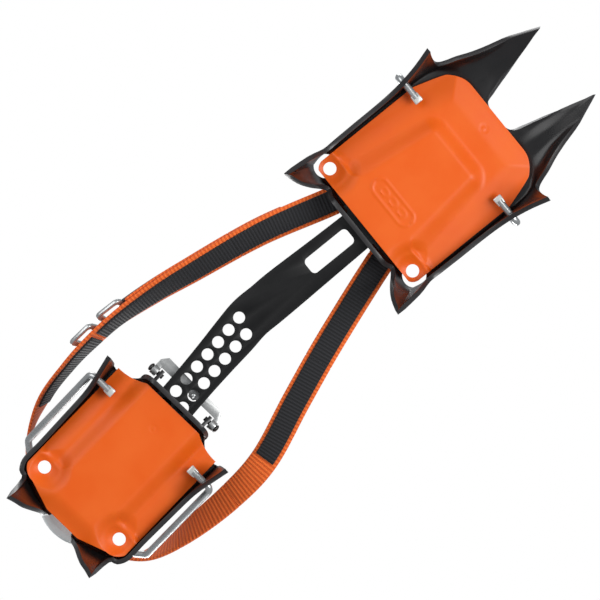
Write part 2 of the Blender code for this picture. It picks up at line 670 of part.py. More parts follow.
boolean(cradle, cutter("cradle_thread", rod((0, SCREW_Y, 88), (0, SCREW_Y, 101), SCREW_RADIUS + 0.35), HEEL))


# Safety strap: one length of flat webbing, from the toe bail's crossbar back to the heel lever on each side.
# Each point gives the webbing's middle and the way its ground side faces.
STEPS = 3                       # smooth points from each point of a strap's route to the next


def heel_point(x, y, z, facing):
    place = Matrix.Rotation(math.radians(HEEL_TURN), 3, "Z") @ Vector((x, y, z)) + Vector((*HEEL_PLACE, 0))
    faces = Matrix.Rotation(math.radians(HEEL_TURN), 3, "Z") @ Vector(facing)
    return (*place, *faces)


def strap_frames(route):
    """The webbing's middle, direction, sideways and ground-side vectors along the smooth route."""
    frames = []
    curve = through(route, STEPS)
    for n, station in enumerate(curve):
        before = Vector(curve[max(n - 1, 0)][:3])
        after = Vector(curve[min(n + 1, len(curve) - 1)][:3])
        along = (after - before).normalized()
        aside = along.cross(Vector(station[3:])).normalized()
        frames.append((Vector(station[:3]), along, aside, aside.cross(along)))
    return frames


def ribbon(name, frames, width, thickness, offset, finish_material, gap=0.25):
    """A flat band through the frames, offset towards its ground side and drawn back at each end."""
    rings = []
    for n, (middle, along, aside, out) in enumerate(frames):
        drawn = gap if n == 0 else -gap if n == len(frames) - 1 else 0
        centre = middle + along * drawn + out * offset
        corners = ((1, 1), (1, -1), (-1, -1), (-1, 1))
        rings.append([centre + aside * a * width / 2 + out * b * thickness / 2 for a, b in corners])
    return finish(name, skin(rings), finish_material, WHOLE)


TOE_LOOP = [
    (3.0, 46.0, 84.0, 0, 0.5, -0.86),
    (1.2, 52.6, 89.2, 0, 0.45, -0.9),
    (0.0, 58.0, 91.6, 0, 0, -1),
    (0.0, 61.6, 88.0, 0, -1, 0),
    (0.0, 58.0, 84.4, 0, 0, 1),
    (-1.2, 52.4, 81.8, 0, -0.5, 0.86),
    (-3.0, 46.0, 77.0, 0, -0.6, 0.8),
]
RIGHT_ARM = [
    (3.0, 46.0, 84.0, 0, 0.6, -0.8),
    (9.0, 31.0, 67.0, 0, 0.6, -0.8),
    (15.6, 12.0, 51.0, 0, 0.25, -0.97),
    (20.2, -8.6, 47.2, 0, 0, -1),
    (31.4, -48.7, 51.0, -0.35, 0, -0.94),
    (38.6, -91.3, 58.0, -0.58, 0, -0.81),
    (41.6, -112.0, 62.0, -0.72, 0, -0.69),
    (43.4, -134.9, 66.0, -0.86, 0, -0.51),
    (42.6, -152.9, 70.0, -0.9, 0, -0.44),
    heel_point(55.0, 47.0, 77.0, (-0.93, 0, -0.37)),
    heel_point(52.5, 26.0, 86.0, (-0.97, 0, -0.25)),
    heel_point(43.6, 4.6, 100.0, (-0.9, 0.44, 0)),
    heel_point(30.0, -8.6, 115.0, (-0.55, 0.84, 0)),
    heel_point(14.0, -12.2, 123.0, (-0.4, 0.92, 0)),
    heel_point(0.0, -16.2, 125.0, (0, 1, 0)),
]
LEFT_ARM = [
    (-3.0, 46.0, 77.0, 0, 0.6, -0.8),
    (-9.0, 31.0, 61.0, 0, 0.55, -0.83),
    (-14.8, 12.0, 50.0, 0, 0.25, -0.97),
    (-19.5, -9.3, 47.2, 0, 0, -1),
    (-35.4, -55.7, 49.5, 0, 0, -1),
    (-48.5, -89.0, 54.0, 0.05, 0, -1),
    (-61.9, -121.3, 61.0, 0.15, 0, -0.98),
    (-66.0, -147.2, 70.0, 0.35, 0, -0.93),
    (-66.2, -174.8, 82.0, 0.62, 0, -0.78),
    heel_point(-45.6, 9.4, 96.0, (0.93, 0, -0.36)),
    heel_point(-37.0, -4.0, 108.0, (0.8, 0.6, 0)),
    heel_point(-25.0, -9.6, 118.0, (0.5, 0.86, 0)),
    heel_point(-14.0, -12.2, 123.5, (0.4, 0.92, 0)),
    heel_point(0.0, -16.2, 125.0, (0, 1, 0)),
]
strap = strap_frames(RIGHT_ARM + LEFT_ARM[-2::-1])
ribbon("strap_toe_loop", strap_frames(TOE_LOOP), *WEBBING, 0, ORANGE_WEBBING)
# Each stretch runs between two points of the strap, counted in smooth steps.
STRETCHES = (
    ("strap_front_right", 0, 9),
    ("strap_middle_right", 9, 22),
    ("strap_rear_right", 23, 33),
    ("strap_heel", 33, 54),
    ("strap_rear_left", 54, 63),
    ("strap_middle_left", 63, 72),
    ("strap_front_left", 72, 81),
)
for name, start, end in STRETCHES:
    ribbon(name, strap[start : end + 1], *WEBBING, 0, ORANGE_WEBBING)
SLEEVES = (
    ("sleeve_front_right", 0, 9),
    ("sleeve_middle_right", 9, 22),
    ("sleeve_rear_right", 23, 31),
    ("sleeve_middle_left", 63, 72),
    ("sleeve_front_left", 72, 81),
)
SLEEVE_OFFSET = (WEBBING[1] + SLEEVE[1]) / 2 + LAYER_GAP
for name, start, end in SLEEVES:
    ribbon(name, strap[start : end + 1], *SLEEVE, SLEEVE_OFFSET, BLACK_WEBBING)

# The strap's loose end runs forward from the buckle on the strap's outer side, under a dark pull tab.
TAIL_OFFSET = -(WEBBING[1] + LAYER_GAP)
TAB = (12.0, 1.4)
TAB_OFFSET = TAIL_OFFSET - (WEBBING[1] + TAB[1]) / 2 - LAYER_GAP
ribbon("strap_tail", strap[11:20], *WEBBING, TAIL_OFFSET, ORANGE_WEBBING)
ribbon("strap_pull_tab", strap[15:20], *TAB, TAB_OFFSET, GREY_TAPE)

# Buckle: two flat steel rings end to end, each with one opening.
RING_LENGTH, RING_WIDTH = 16.0, 20.0
RING_BAR, RING_THICKNESS = 3.2, 2.2
RING_CORNER = 3.0
RING_OFFSET = -3.4              # on the strap's outer side
RING_FIXED_AT, RING_SLIDER_AT = 24, 21


def rounded_rectangle(half_length, half_width, radius, steps=3):
    outline = []
    for quarter, (a, b) in enumerate(((1, 1), (-1, 1), (-1, -1), (1, -1))):
        for step in range(steps + 1):
            turn = math.pi / 2 * (quarter + step / steps)
            x = a * (half_length - radius) + radius * math.cos(turn)
            y = b * (half_width - radius) + radius * math.sin(turn)
            outline.append((x, y))
    return outline


def buckle_ring(name, frame, hinge_side):
    """A flat ring in the strap's plane, its origin on the bar at hinge_side, +1 or -1 along the strap."""
    middle, along, aside, out = frame
    middle = middle + out * RING_OFFSET
    outer = rounded_rectangle(RING_LENGTH / 2, RING_WIDTH / 2, RING_CORNER)
    inner = rounded_rectangle(RING_LENGTH / 2 - RING_BAR, RING_WIDTH / 2 - RING_BAR * 0.8, 1.0)
    loops = []
    for outline, height in ((outer, -0.5), (outer, 0.5), (inner, 0.5), (inner, -0.5)):
        loops.append([middle + along * x + aside * y + out * height * RING_THICKNESS for x, y in outline])
    mesh = bmesh.new()
    rows = [[mesh.verts.new(point) for point in loop] for loop in loops]
    for row, following in zip(rows, rows[1:] + rows[:1]):
        for n in range(len(row)):
            following_n = (n + 1) % len(row)
            mesh.faces.new((row[n], row[following_n], following[following_n], following[n]))
    pivot = middle + along * hinge_side * (RING_LENGTH / 2 - RING_BAR / 2)
    return finish(name, mesh, BRIGHT_WIRE, WHOLE, pivot)


buckle_ring("buckle_ring_fixed", strap[RING_FIXED_AT], 1)
buckle_ring("buckle_ring_slider", strap[RING_SLIDER_AT], 1)
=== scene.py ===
"""A right-foot crampon: steel frames, anti-balling plates, linking bar, wire bails, heel lever and strap."""

import math

import bmesh
import bpy
from mathutils import Matrix, Vector


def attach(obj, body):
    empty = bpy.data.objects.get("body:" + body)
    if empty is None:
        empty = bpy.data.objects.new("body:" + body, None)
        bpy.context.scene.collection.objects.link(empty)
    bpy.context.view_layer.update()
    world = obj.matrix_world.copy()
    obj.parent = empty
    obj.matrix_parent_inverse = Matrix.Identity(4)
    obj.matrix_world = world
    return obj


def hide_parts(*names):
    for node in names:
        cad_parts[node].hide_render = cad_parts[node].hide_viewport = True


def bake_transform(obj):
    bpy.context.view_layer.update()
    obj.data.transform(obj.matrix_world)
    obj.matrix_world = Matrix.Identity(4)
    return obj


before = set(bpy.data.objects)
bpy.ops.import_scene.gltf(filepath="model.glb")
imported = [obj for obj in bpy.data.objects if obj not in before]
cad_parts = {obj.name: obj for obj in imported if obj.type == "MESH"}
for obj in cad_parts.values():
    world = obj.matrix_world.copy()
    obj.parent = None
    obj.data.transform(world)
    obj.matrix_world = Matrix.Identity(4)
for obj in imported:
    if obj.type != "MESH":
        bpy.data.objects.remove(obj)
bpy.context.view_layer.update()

# View and studio
# The crampon is seen square from below, points towards the eye, on plain white. The floor at the points' tips
# is clear from its underside: the side and top views stand on it and the view from below looks through it.
MM = 0.001
VIEW_RIGHT, VIEW_UP = Vector((-0.6293, 0.7771, 0.0)), Vector((0.7771, 0.6293, 0.0))
VIEW_MIDDLE = Vector((0.0014, -0.0018, 0.030))
VIEW_WIDTH, LENS, SENSOR = 0.312, 1000.0, 36.0


def linear(hex_colour):
    """sRGB hex to linear red, green, blue and alpha."""
    channels = [int(hex_colour[n : n + 2], 16) / 255 for n in (0, 2, 4)]
    return (*[c / 12.92 if c <= 0.04045 else ((c + 0.055) / 1.055) ** 2.4 for c in channels], 1.0)


def add(tree, kind, settings=None, **sockets):
    """Adds a shader node. settings are its properties; each socket takes a value or another node's output."""
    node = tree.nodes.new("ShaderNode" + kind)
    for name, value in (settings or {}).items():
        setattr(node, name, value)
    for name, value in sockets.items():
        socket = node.inputs[int(name[1:])] if name[1:].isdigit() else node.inputs[name.replace("_", " ")]
        if isinstance(value, bpy.types.NodeSocket):
            tree.links.new(value, socket)
        else:
            socket.default_value = value
    return node


def aim(light, target):
    light.rotation_euler = (Vector(target) - light.location).to_track_quat("-Z", "Y").to_euler()


camera = bpy.data.objects.new("view_from_below", bpy.data.cameras.new("view_from_below"))
bpy.context.collection.objects.link(camera)
camera.data.lens, camera.data.sensor_width = LENS, SENSOR
camera.data.clip_start, camera.data.clip_end = 0.05, 20.0
away = VIEW_WIDTH * LENS / SENSOR
camera.location = VIEW_MIDDLE - Vector((0, 0, away))
camera.rotation_euler = Matrix((VIEW_RIGHT, VIEW_UP, VIEW_RIGHT.cross(VIEW_UP))).transposed().to_euler()
bpy.context.scene.camera = camera
bpy.context.scene.view_settings.view_transform = "Standard"

world = bpy.data.worlds.new("white_studio")
world.use_nodes = True
bpy.context.scene.world = world
sky = world.node_tree
sky.nodes.clear()
rays = add(sky, "LightPath")
white = add(sky, "Background", Color=(1.0, 1.0, 1.0, 1.0), Strength=1.0)
room = add(sky, "Background", Color=(0.93, 0.96, 1.0, 1.0), Strength=0.36)
seen = add(sky, "MixShader", _0=rays.outputs["Is Camera Ray"], _1=room.outputs[0], _2=white.outputs[0])
add(sky, "OutputWorld", Surface=seen.outputs[0])

for name, place, size, power in (
    ("key_softbox_below", (-0.55, 0.75, -1.15), 0.8, 17.5),
    ("fill_softbox_below", (0.95, -0.35, -0.95), 1.1, 7.5),
    ("key_softbox_above", (-0.7, -0.9, 1.3), 0.9, 24.0),
    ("fill_softbox_above", (1.0, 0.7, 1.0), 1.1, 12.0),
):
    light = bpy.data.objects.new(name, bpy.data.lights.new(name, "AREA"))
    bpy.context.collection.objects.link(light)
    light.data.size, light.data.energy = size, power
    light.location = place
    aim(light, (0.0, 0.0, 0.04))

floor_mesh = bmesh.new()
bmesh.ops.create_grid(floor_mesh, x_segments=1, y_segments=1, size=4.0)
floor_data = bpy.data.meshes.new("studio_floor")
floor_mesh.to_mesh(floor_data)
floor_mesh.free()
floor = bpy.data.objects.new("studio_floor", floor_data)
bpy.context.collection.objects.link(floor)
paper = bpy.data.materials.new("matt_white_paper")
paper.use_nodes = True
paper.node_tree.nodes.clear()
side = add(paper.node_tree, "NewGeometry")
matt = add(paper.node_tree, "BsdfDiffuse", Color=linear("F4F4F4"))
clear = add(paper.node_tree, "BsdfTransparent")
sheet = add(
    paper.node_tree, "MixShader", _0=side.outputs["Backfacing"], _1=matt.outputs[0], _2=clear.outputs[0]
)
add(paper.node_tree, "OutputMaterial", Surface=sheet.outputs[0])
floor_data.materials.append(paper)
floor.visible_shadow = floor.visible_diffuse = floor.visible_glossy = floor.visible_transmission = False

# Front frame
# One piece of 2.5 mm heat-treated chromoly sheet: a flat ring under the boot, folded down all round into
# rails and six points, with a rear flange that the bar's head hooks behind. Dipped in satin black paint, which
# thins over the sheared edges. Those edges are coloured a paler grey, partly for the thinner paint and partly
# as a painted highlight along them. It is drawn in millimetres from its own origin, and placed by FRONT_PLACE.
FRONT_PLACE = Matrix.Translation((10.52, 53.27, 0.38))
SOLE_Z, SHEET = 40.0, 2.5
MIDDLE_Z = SOLE_Z - SHEET / 2
FOLD_RADIUS = 3.0
FRONT_STATIONS = [
    # inner edge, fold, lower edge x y z, bow
    (0, 70, 0, 80, 0, 84.4, 38.6, 0),
    (5, 70, 5, 80, 6.5, 84.6, 38.6, 0),
    (8, 70, 9, 81.5, 10.4, 87.4, 38.2, 0),
    (11, 70, 12.5, 83, 13.4, 98, 36.8, 0.5),
    (13.5, 70, 16, 84, 17.4, 113, 32, 1.5),
    (16, 70, 20, 84.5, 22.4, 131, 22, 2.5),
    (19, 70, 24, 84.5, 25.5, 123.3, 24.5, 2.2),
    (21.5, 69.5, 27.5, 84, 28.5, 115.5, 27, 1.8),
    (24, 69, 31, 83, 31.4, 104, 28.5, 1),
    (26, 68, 34, 81.5, 34.2, 95, 29, 0.5),
    (27.5, 66.5, 36.6, 79.5, 37.4, 87.3, 30, 0),
    (29, 65, 38.6, 77.5, 39.4, 81.2, 32.5, 0),
    (30, 63, 40.4, 75, 41.4, 77.6, 33, 0),
    (30.8, 60.5, 41.8, 71.5, 44.4, 77.2, 22, 0),
    (31.3, 58, 42.3, 68, 49.6, 78.4, 0, 0),
    (31.6, 54, 42.7, 63, 46.8, 68.5, 9.5, 0),
    (31.8, 50, 42.9, 57, 44.9, 58.5, 19, 0),
    (32, 45, 43.1, 49, 43.9, 49, 25.5, 0),
    (32, 36, 43.2, 38, 43.5, 38, 27, 0),
    (32, 24, 43.1, 24, 43.4, 24, 27, 0),
    (31.6, 14, 42.9, 12, 43.2, 11, 27, 0),
    (30.8, 10, 42.9, 6, 43.1, 3.5, 24.5, 0),
    (30, 8, 42.9, 0.5, 45.0, -5.0, 13, 0),
    (28.5, 6, 41.4, -4.8, 46.2, -19.6, 0, 0),
    (26, 5, 38.2, -7.2, 38.6, -17.0, 9.5, 0),
    (23.5, 4.4, 34, -7.9, 33.2, -13.2, 20, 0),
    (21, 4.1, 30, -7.9, 29.4, -9.3, 29, 0),
    (18.5, 4, 26.2, -7.1, 26.2, -7.3, 33, 0),
    (15.5, 4, 22.6, -8.2, 22.8, -8.8, 29, 0),
    (12, 4, 18, -8.9, 18, -9.25, 25, 0),
    (0, 4, 0, -8.9, 0, -9.25, 25, 0),
]
FRONT_TIPS = (5, 14, 23)
FINE = 3                        # smooth steps between two stations


def through(points, steps, corners=()):
    """A smooth curve through the points, which may turn sharply at the points numbered in corners."""
    curve = []
    for n in range(len(points) - 1):
        here, after = points[n], points[n + 1]
        before = points[n - 1] if n > 0 and n not in corners else here
        beyond = points[n + 2] if n + 2 < len(points) and n + 1 not in corners else after
        for step in range(steps):
            t = step / steps
            weights = (-t + 2 * t**2 - t**3, 2 - 5 * t**2 + 3 * t**3, t + 4 * t**2 - 3 * t**3, t**3 - t**2)
            near = zip(before, here, after, beyond)
            curve.append(tuple(sum(w * v for w, v in zip(weights, four)) / 2 for four in near))
    curve.append(tuple(points[-1]))
    return curve


def piece(name, mesh_in_mm, place, finishes, smooth=32.0):
    """Makes an object of a mesh drawn in millimetres, with its finishes, one for each material index."""
    bmesh.ops.recalc_face_normals(mesh_in_mm, faces=mesh_in_mm.faces)
    bmesh.ops.transform(mesh_in_mm, matrix=Matrix.Scale(MM, 4) @ place, verts=mesh_in_mm.verts)
    data = bpy.data.meshes.new(name)
    mesh_in_mm.to_mesh(data)
    mesh_in_mm.free()
    for finish in finishes:
        data.materials.append(finish)
    data.shade_smooth()
    data.set_sharp_from_angle(angle=math.radians(smooth))
    made = bpy.data.objects.new(name, data)
    bpy.context.collection.objects.link(made)
    return made


def applied(made, smooth=32.0):
    """Turns the object's modifiers into plain mesh."""
    bpy.context.view_layer.update()
    graph = bpy.context.evaluated_depsgraph_get()
    old = made.data
    made.data = bpy.data.meshes.new_from_object(made.evaluated_get(graph), depsgraph=graph)
    made.modifiers.clear()
    made.data.shade_smooth()
    made.data.set_sharp_from_angle(angle=math.radians(smooth))
    bpy.data.meshes.remove(old)
    return made


def worked(made, tools, place, operation="DIFFERENCE"):
    """Cuts every tool mesh out of the object, or joins it on."""
    temporary = []
    for n, tool in enumerate(tools):
        helper = piece("tool_%d" % n, tool, place, ())
        step = made.modifiers.new("work", "BOOLEAN")
        step.operation, step.solver, step.object = operation, "EXACT", helper
        temporary.append(helper)
    applied(made)
    for helper in temporary:
        bpy.data.objects.remove(helper)
    return made


def eased(made, width, smooth=32.0, angle=38.0):
    """Rounds the sharp edges by a small bevel, as deburring does."""
    bevel = made.modifiers.new("deburred", "BEVEL")
    bevel.width, bevel.segments = width * MM, 2
    bevel.limit_method, bevel.angle_limit = "ANGLE", math.radians(angle)
    return applied(made, smooth)


def round_bar(start, end, radius, sides=28):
    """A round bar from start to end, in millimetres."""
    start, end = Vector(start), Vector(end)
    mesh = bmesh.new()
    bmesh.ops.create_cone(
        mesh, cap_ends=True, segments=sides, radius1=radius, radius2=radius, depth=(end - start).length
    )
    turn = (end - start).to_track_quat("Z", "Y").to_matrix().to_4x4()
    bmesh.ops.transform(mesh, matrix=Matrix.Translation((start + end) / 2) @ turn, verts=mesh.verts)
    return mesh


def box(low, high):
    mesh = bmesh.new()
    low, high = Vector(low), Vector(high)
    bmesh.ops.create_cube(mesh, size=1.0)
    bmesh.ops.scale(mesh, vec=high - low, verts=mesh.verts)
    bmesh.ops.translate(mesh, vec=(low + high) / 2, verts=mesh.verts)
    return mesh


def frame_column(station):
    """The points from the ring's inner edge, over the fold, to the lower edge, on the middle of the sheet."""
    inner = Vector((station[0], station[1], MIDDLE_Z))
    fold = Vector((station[2], station[3], MIDDLE_Z))
    edge = Vector(station[4:7])
    radius = min(FOLD_RADIUS, 0.45 * (edge - fold).length, 0.6 * (fold - inner).length)
    start = fold + (inner - fold).normalized() * radius
    end = fold + (edge - fold).normalized() * radius
    column = [inner, start]
    column += [start * (1 - t) ** 2 + fold * 2 * t * (1 - t) + end * t**2 for t in (0.2, 0.4, 0.6, 0.8)]
    bowed = (end + edge) / 2 + Vector((0, 0, station[7]))
    column += [end, (end + bowed) / 2 + Vector((0, 0, station[7] / 4)), bowed]
    column += [(bowed + edge) / 2 + Vector((0, 0, station[7] / 4)), edge]
    return column


def folded_sheet(name, stations, tips, place, finishes):
    """A closed band of sheet through the stations of one half and their mirror, given its thickness."""
    mesh = bmesh.new()
    across = [frame_column(station) for station in through(stations, FINE, tips)]
    last = len(across[0]) - 1
    loops = []
    for row in range(last + 1):
        half = [column[row] for column in across]
        ring = half + [Vector((-p.x, p.y, p.z)) for p in half[-2:0:-1]]
        points = [mesh.verts.new(p) for p in ring]
        loops.append([mesh.edges.new((a, b)) for a, b in zip(points, points[1:] + points[:1])])
    for inner, outer in zip(loops, loops[1:]):
        for n in range(len(inner)):
            a, b = inner[n].verts, outer[n].verts
            mesh.faces.new((a[0], a[1], b[1], b[0]))
    made = piece(name, mesh, place, finishes)
    wall = made.modifiers.new("sheet", "SOLIDIFY")
    wall.thickness, wall.offset = SHEET * MM, 0.0
    # the rim, which is the sheet's cut edges, takes the second finish: the paler grey with its painted
    # highlight
    wall.material_offset_rim = 1
    return applied(made)


def painted_steel(name, hex_colour, roughness, grain_mm, specular=0.5):
    """Satin black dip paint on steel: nearly black, soft wide highlights, faint unevenness where it ran."""
    made = bpy.data.materials.new(name)
    made.use_nodes = True
    tree = made.node_tree
    shader = tree.nodes["Principled BSDF"]
    place = add(tree, "TexCoord").outputs["Object"]
    flow = add(tree, "TexNoise", Vector=place, Scale=1 / 0.014, Detail=3.0, Roughness=0.55)
    base = Vector(linear(hex_colour)[:3])
    darker, paler = (*(base * 0.72), 1.0), (*(base * 1.35), 1.0)
    tint = add(tree, "Mix", {"data_type": "RGBA"}, _0=flow.outputs["Fac"], _6=darker, _7=paler)
    shine = add(
        tree, "MapRange", Value=flow.outputs["Fac"], From_Min=0.3, From_Max=0.7,
        To_Min=roughness - 0.05, To_Max=roughness + 0.07,
    )
    peel = add(tree, "TexNoise", Vector=place, Scale=1 / (grain_mm * MM), Detail=2.0)
    bump = add(tree, "Bump", Strength=0.16, Distance=0.00008, Height=peel.outputs["Fac"])
    tree.links.new(tint.outputs[2], shader.inputs["Base Color"])
    tree.links.new(shine.outputs[0], shader.inputs["Roughness"])
    tree.links.new(bump.outputs[0], shader.inputs["Normal"])
    shader.inputs["Specular IOR Level"].default_value = specular
    shader.inputs["Coat Weight"].default_value = 0.3 * specular
    shader.inputs["Coat Roughness"].default_value = 0.2
    return made


satin_black = painted_steel("satin_black_dipped_steel", "121112", 0.3, 1.1)
# The cut edges' paler grey: partly thinner paint, partly a painted highlight along the edges.
edge_paint_and_painted_highlight = painted_steel("thin_paint_and_painted_highlight_on_sheared_edge", "252324", 0.36, 0.7)

PIN_Z, TOE_PIN_Y, PIN_HOLE = 29.0, 58.0, 2.4    # where the bails' pins turn, and the rail's hole for them
SLOT_LOW, SLOT_HIGH = 29.9, 35.1                # of the slots that the bar goes through

front_frame = folded_sheet(
    "front_frame_sheet", FRONT_STATIONS, FRONT_TIPS, FRONT_PLACE, (satin_black, edge_paint_and_painted_highlight)
)
cross_bridge = box((-34, 32, MIDDLE_Z - 1.0), (34, 46, MIDDLE_Z + 1.0))
worked(front_frame, [cross_bridge], FRONT_PLACE, "UNION")
front_cuts = [box((-12.2, -14, SLOT_LOW), (12.2, -4, SLOT_HIGH))]
for sign in (1, -1):
    front_cuts.append(round_bar((sign * 36, TOE_PIN_Y, PIN_Z), (sign * 55, TOE_PIN_Y, PIN_Z), PIN_HOLE))
    front_cuts.append(round_bar((sign * 36.6, -0.8, 34), (sign * 36.6, -0.8, 44), 6.3, 40))
worked(front_frame, front_cuts, FRONT_PLACE)
eased(front_frame, 0.3)
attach(front_frame, "front_section")
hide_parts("front_frame")

# Heel frame
# The same sheet and paint: a ring under the heel, a bridge at the front with the slot that the bar runs
# through and two ears for the clip, two side points, and two long points at the rear.
HEEL_PLACE = (
    FRONT_PLACE @ Matrix.Translation((-19.8, -209.8, 0)) @ Matrix.Rotation(math.radians(-7.0), 4, "Z")
)
HEEL_STATIONS = [
    (0, 57, 0, 71.4, 0, 71.7, 25, 0),
    (8, 57, 12, 71.4, 12, 71.7, 25, 0),
    (13, 57, 18, 71.2, 18.4, 71.5, 25.5, 0),
    (15.5, 56.5, 20.6, 70.4, 21.2, 70.9, 31, 0),
    (17, 56, 22.2, 69, 22.6, 69.6, 36, 0),
    (18.5, 55.5, 23, 65.5, 23.8, 67.2, 38.6, 0),
    (20.5, 54, 28, 61.5, 28.6, 63.4, 38.6, 0),
    (22.5, 52, 33, 60.5, 34.2, 62.4, 38.4, 0),
    (22.9, 51.5, 36.2, 60.8, 37.2, 62.6, 38.4, 0),
    (23.4, 51, 38.2, 61.6, 38.9, 63.4, 33, 0),
    (24.2, 49.5, 38.3, 60.2, 39.9, 64.4, 22, 0),
    (25, 47.5, 38, 57.5, 42.4, 65, 0, 0),
    (25.8, 44.5, 38, 54, 40.6, 56.5, 10, 0),
    (26.3, 41, 37.9, 48, 39, 49, 20, 0),
    (26.6, 36, 37.7, 41, 38, 41, 27, 0),
    (26.6, 26, 37.4, 28, 37.6, 28, 28, 0),
    (26.2, 16, 37.1, 16, 37.3, 16, 29, 0),
    (25.5, 10, 36.9, 7, 37.1, 7, 29.5, 0),
    (24, 7.2, 37, 1.2, 37.2, 1, 30.5, 0),
    (22.8, 5.8, 36.7, -4.3, 37.0, -4.7, 31, 0),
    (21.2, 4.8, 34.2, -8.5, 34.6, -9.2, 31, 0),
    (19.5, 3.8, 30.2, -10.8, 30.6, -11.6, 29, 0),
    (17.6, 3, 27.2, -11.8, 29.6, -23.6, 0, 0),
    (15.6, 2.4, 23.6, -13, 25.2, -22.4, 4.5, 0),
    (13.6, 2, 19.6, -14.4, 20.4, -21.4, 9, 0),
    (11.5, 1.6, 15.8, -15.6, 13.8, -18.4, 22, 0),
    (9, 1.2, 11.8, -17.2, 10.8, -17.8, 34, 0),
    (7.4, 1.1, 8.8, -15.4, 8.6, -17, 38.5, 0),
    (5, 1, 6, -12, 6, -14, 38.6, 0),
    (0, 1, 0, -12, 0, -14, 38.6, 0),
]
HEEL_TIPS = (11, 22)
HEEL_PIN_Y = 52.0
CLIP_Y, CLIP_Z = 76.2, 36.8

heel_frame = folded_sheet("heel_frame_sheet", HEEL_STATIONS, HEEL_TIPS, HEEL_PLACE, (satin_black, edge_paint_and_painted_highlight))
heel_joins = [box((-28, 26, MIDDLE_Z - 1.0), (28, 38, MIDDLE_Z + 1.0))]
heel_joins += [box((ear, 70.8, 33.5), (ear + 2.0, 79, 39.4)) for ear in (16.2, -18.2)]
worked(heel_frame, heel_joins, HEEL_PLACE, "UNION")
heel_cuts = [box((-12.8, 66, SLOT_LOW), (12.8, 76, SLOT_HIGH))]
for sign in (1, -1):
    heel_cuts.append(round_bar((sign * 30, HEEL_PIN_Y, PIN_Z), (sign * 50, HEEL_PIN_Y, PIN_Z), PIN_HOLE))
    heel_cuts.append(round_bar((sign * 27, 0, 34), (sign * 27, 0, 44), 4.3, 36))
    heel_cuts.append(round_bar((sign * 14, CLIP_Y, CLIP_Z), (sign * 20, CLIP_Y, CLIP_Z), 1.7))
worked(heel_frame, heel_cuts, HEEL_PLACE)
eased(heel_frame, 0.3)
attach(heel_frame, "heel_section")
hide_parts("heel_frame")

# Anti-balling plates
# Two plates injection-moulded in bright orange elastomer, snapped under the frames so that snow can't cake
# there. Each has a raised middle between two sloped pockets, which works the snow loose, and two holes at its
# rear corners. The pockets end in curved steps around the holes.
PLATE_WALL, PLATE_HOLE = 1.8, 3.45
FRONT_HOLE_X, HEEL_HOLE_X = 34.2, 27.0
PLATE_RIM_Z = SOLE_Z - SHEET - 0.7 - PLATE_WALL
PLATE_GRID = (110, 130)


def ramp(distance, run):
    """0 outside, 1 inside, with a smooth slope run wide; distance is positive inside."""
    t = min(max(distance / run + 0.5, 0), 1)
    return t * t * (3 - 2 * t)


def ridge(distance, half_width, run):
    """1 on a line and 0 away from it."""
    return ramp(half_width - abs(distance), run)


def rounded_box_distance(x, y, half_x, half_y, corner):
    """Distance from a rounded rectangle's edge, negative inside."""
    across, along = abs(x) - half_x + corner, abs(y) - half_y + corner
    return math.hypot(max(across, 0), max(along, 0)) + min(max(across, along), 0) - corner


def front_rear_edge(x):
    return -5.1 if x < 37 else -math.sqrt(max(5.9**2 - (x - FRONT_HOLE_X) ** 2, 0))


def front_front_edge(x):
    if x < 21:
        return 84.6
    if x < 34:
        return 84.6 - 6.6 * ((x - 21) / 13) ** 2.2
    return 78 - 18 * ((x - 34) / 6) ** 1.15


def front_relief(x, y):
    """How far the front plate's lower face stands below its rim."""
    from_hole = math.hypot(abs(x) - FRONT_HOLE_X, y)
    base = min(34 - 0.1 * max(y - 9, 0) - abs(x), 78 - y, from_hole - 10)
    inner = 18.9 - 0.105 * (y - 11)
    beside = max((abs(x) - inner) / (12.5 - 0.05 * (y - 11)), 0)
    ahead = max((y - 53.5) / 9.5, 0)
    pocket = ramp(math.hypot(beside, ahead) - 0.5, 1.0) * ramp(y - 7 - 4 * ramp(22 - abs(x), 6.0), 2.4)
    panel = rounded_box_distance(x, y - 14.4, 14.5, 4.5, 4.4)
    drop = 2.6 * ramp(base, 14.0) + 4.4 * (1 - pocket) * ramp(from_hole - 9, 16.0)
    drop += 0.5 * ramp(9.6 - from_hole, 3.0)
    drop += 0.45 * ridge(panel, 0.6, 0.5)
    for mark in (-7, 0, 7):
        drop += 0.35 * ridge(rounded_box_distance(x - mark, y - 14.4, 2.6, 1.6, 1.5), 0.4, 0.4)
    drop -= 0.25 * ridge(math.hypot(x, y - 75.4) - 1.7, 0.3, 0.4)
    return drop


def heel_rear_edge(x):
    if x < 11:
        return -14.8
    if x < 26.6:
        return -14.8 + 5.4 * (x - 11) / 15.6
    return -math.sqrt(max(9.4**2 - (x - 26.6) ** 2, 0))


def heel_front_edge(x):
    if x < 18.7:
        return 68.4
    share = (x - 18.7) / 16.4
    return 68.4 - 4.5 * share - 5.2 * share * (1 - share)


def heel_relief(x, y):
    """How far the heel plate's lower face stands below its rim."""
    from_hole = math.hypot(abs(x) - HEEL_HOLE_X, y)
    base = min(31 - abs(x), y + 10, from_hole - 9)
    pocket = ramp((abs(x) - 20.5) / 10, 1.0) * ramp(y - 6 - 5 * ramp(18 - abs(x), 5.0), 4.0)
    drop = 2.8 * ramp(base, 12.0) + 4.4 * (1 - pocket) * ramp(from_hole - 8, 16.0)
    drop -= 1.0 * math.exp(-(((abs(x) - 24.5) / 3.8) ** 2)) * ramp(y - 48, 24.0)
    drop += 0.4 * ramp(8.6 - from_hole, 3.0)
    drop -= 0.25 * ridge(math.hypot(x, y - 53.8) - 1.6, 0.3, 0.4)
    return drop


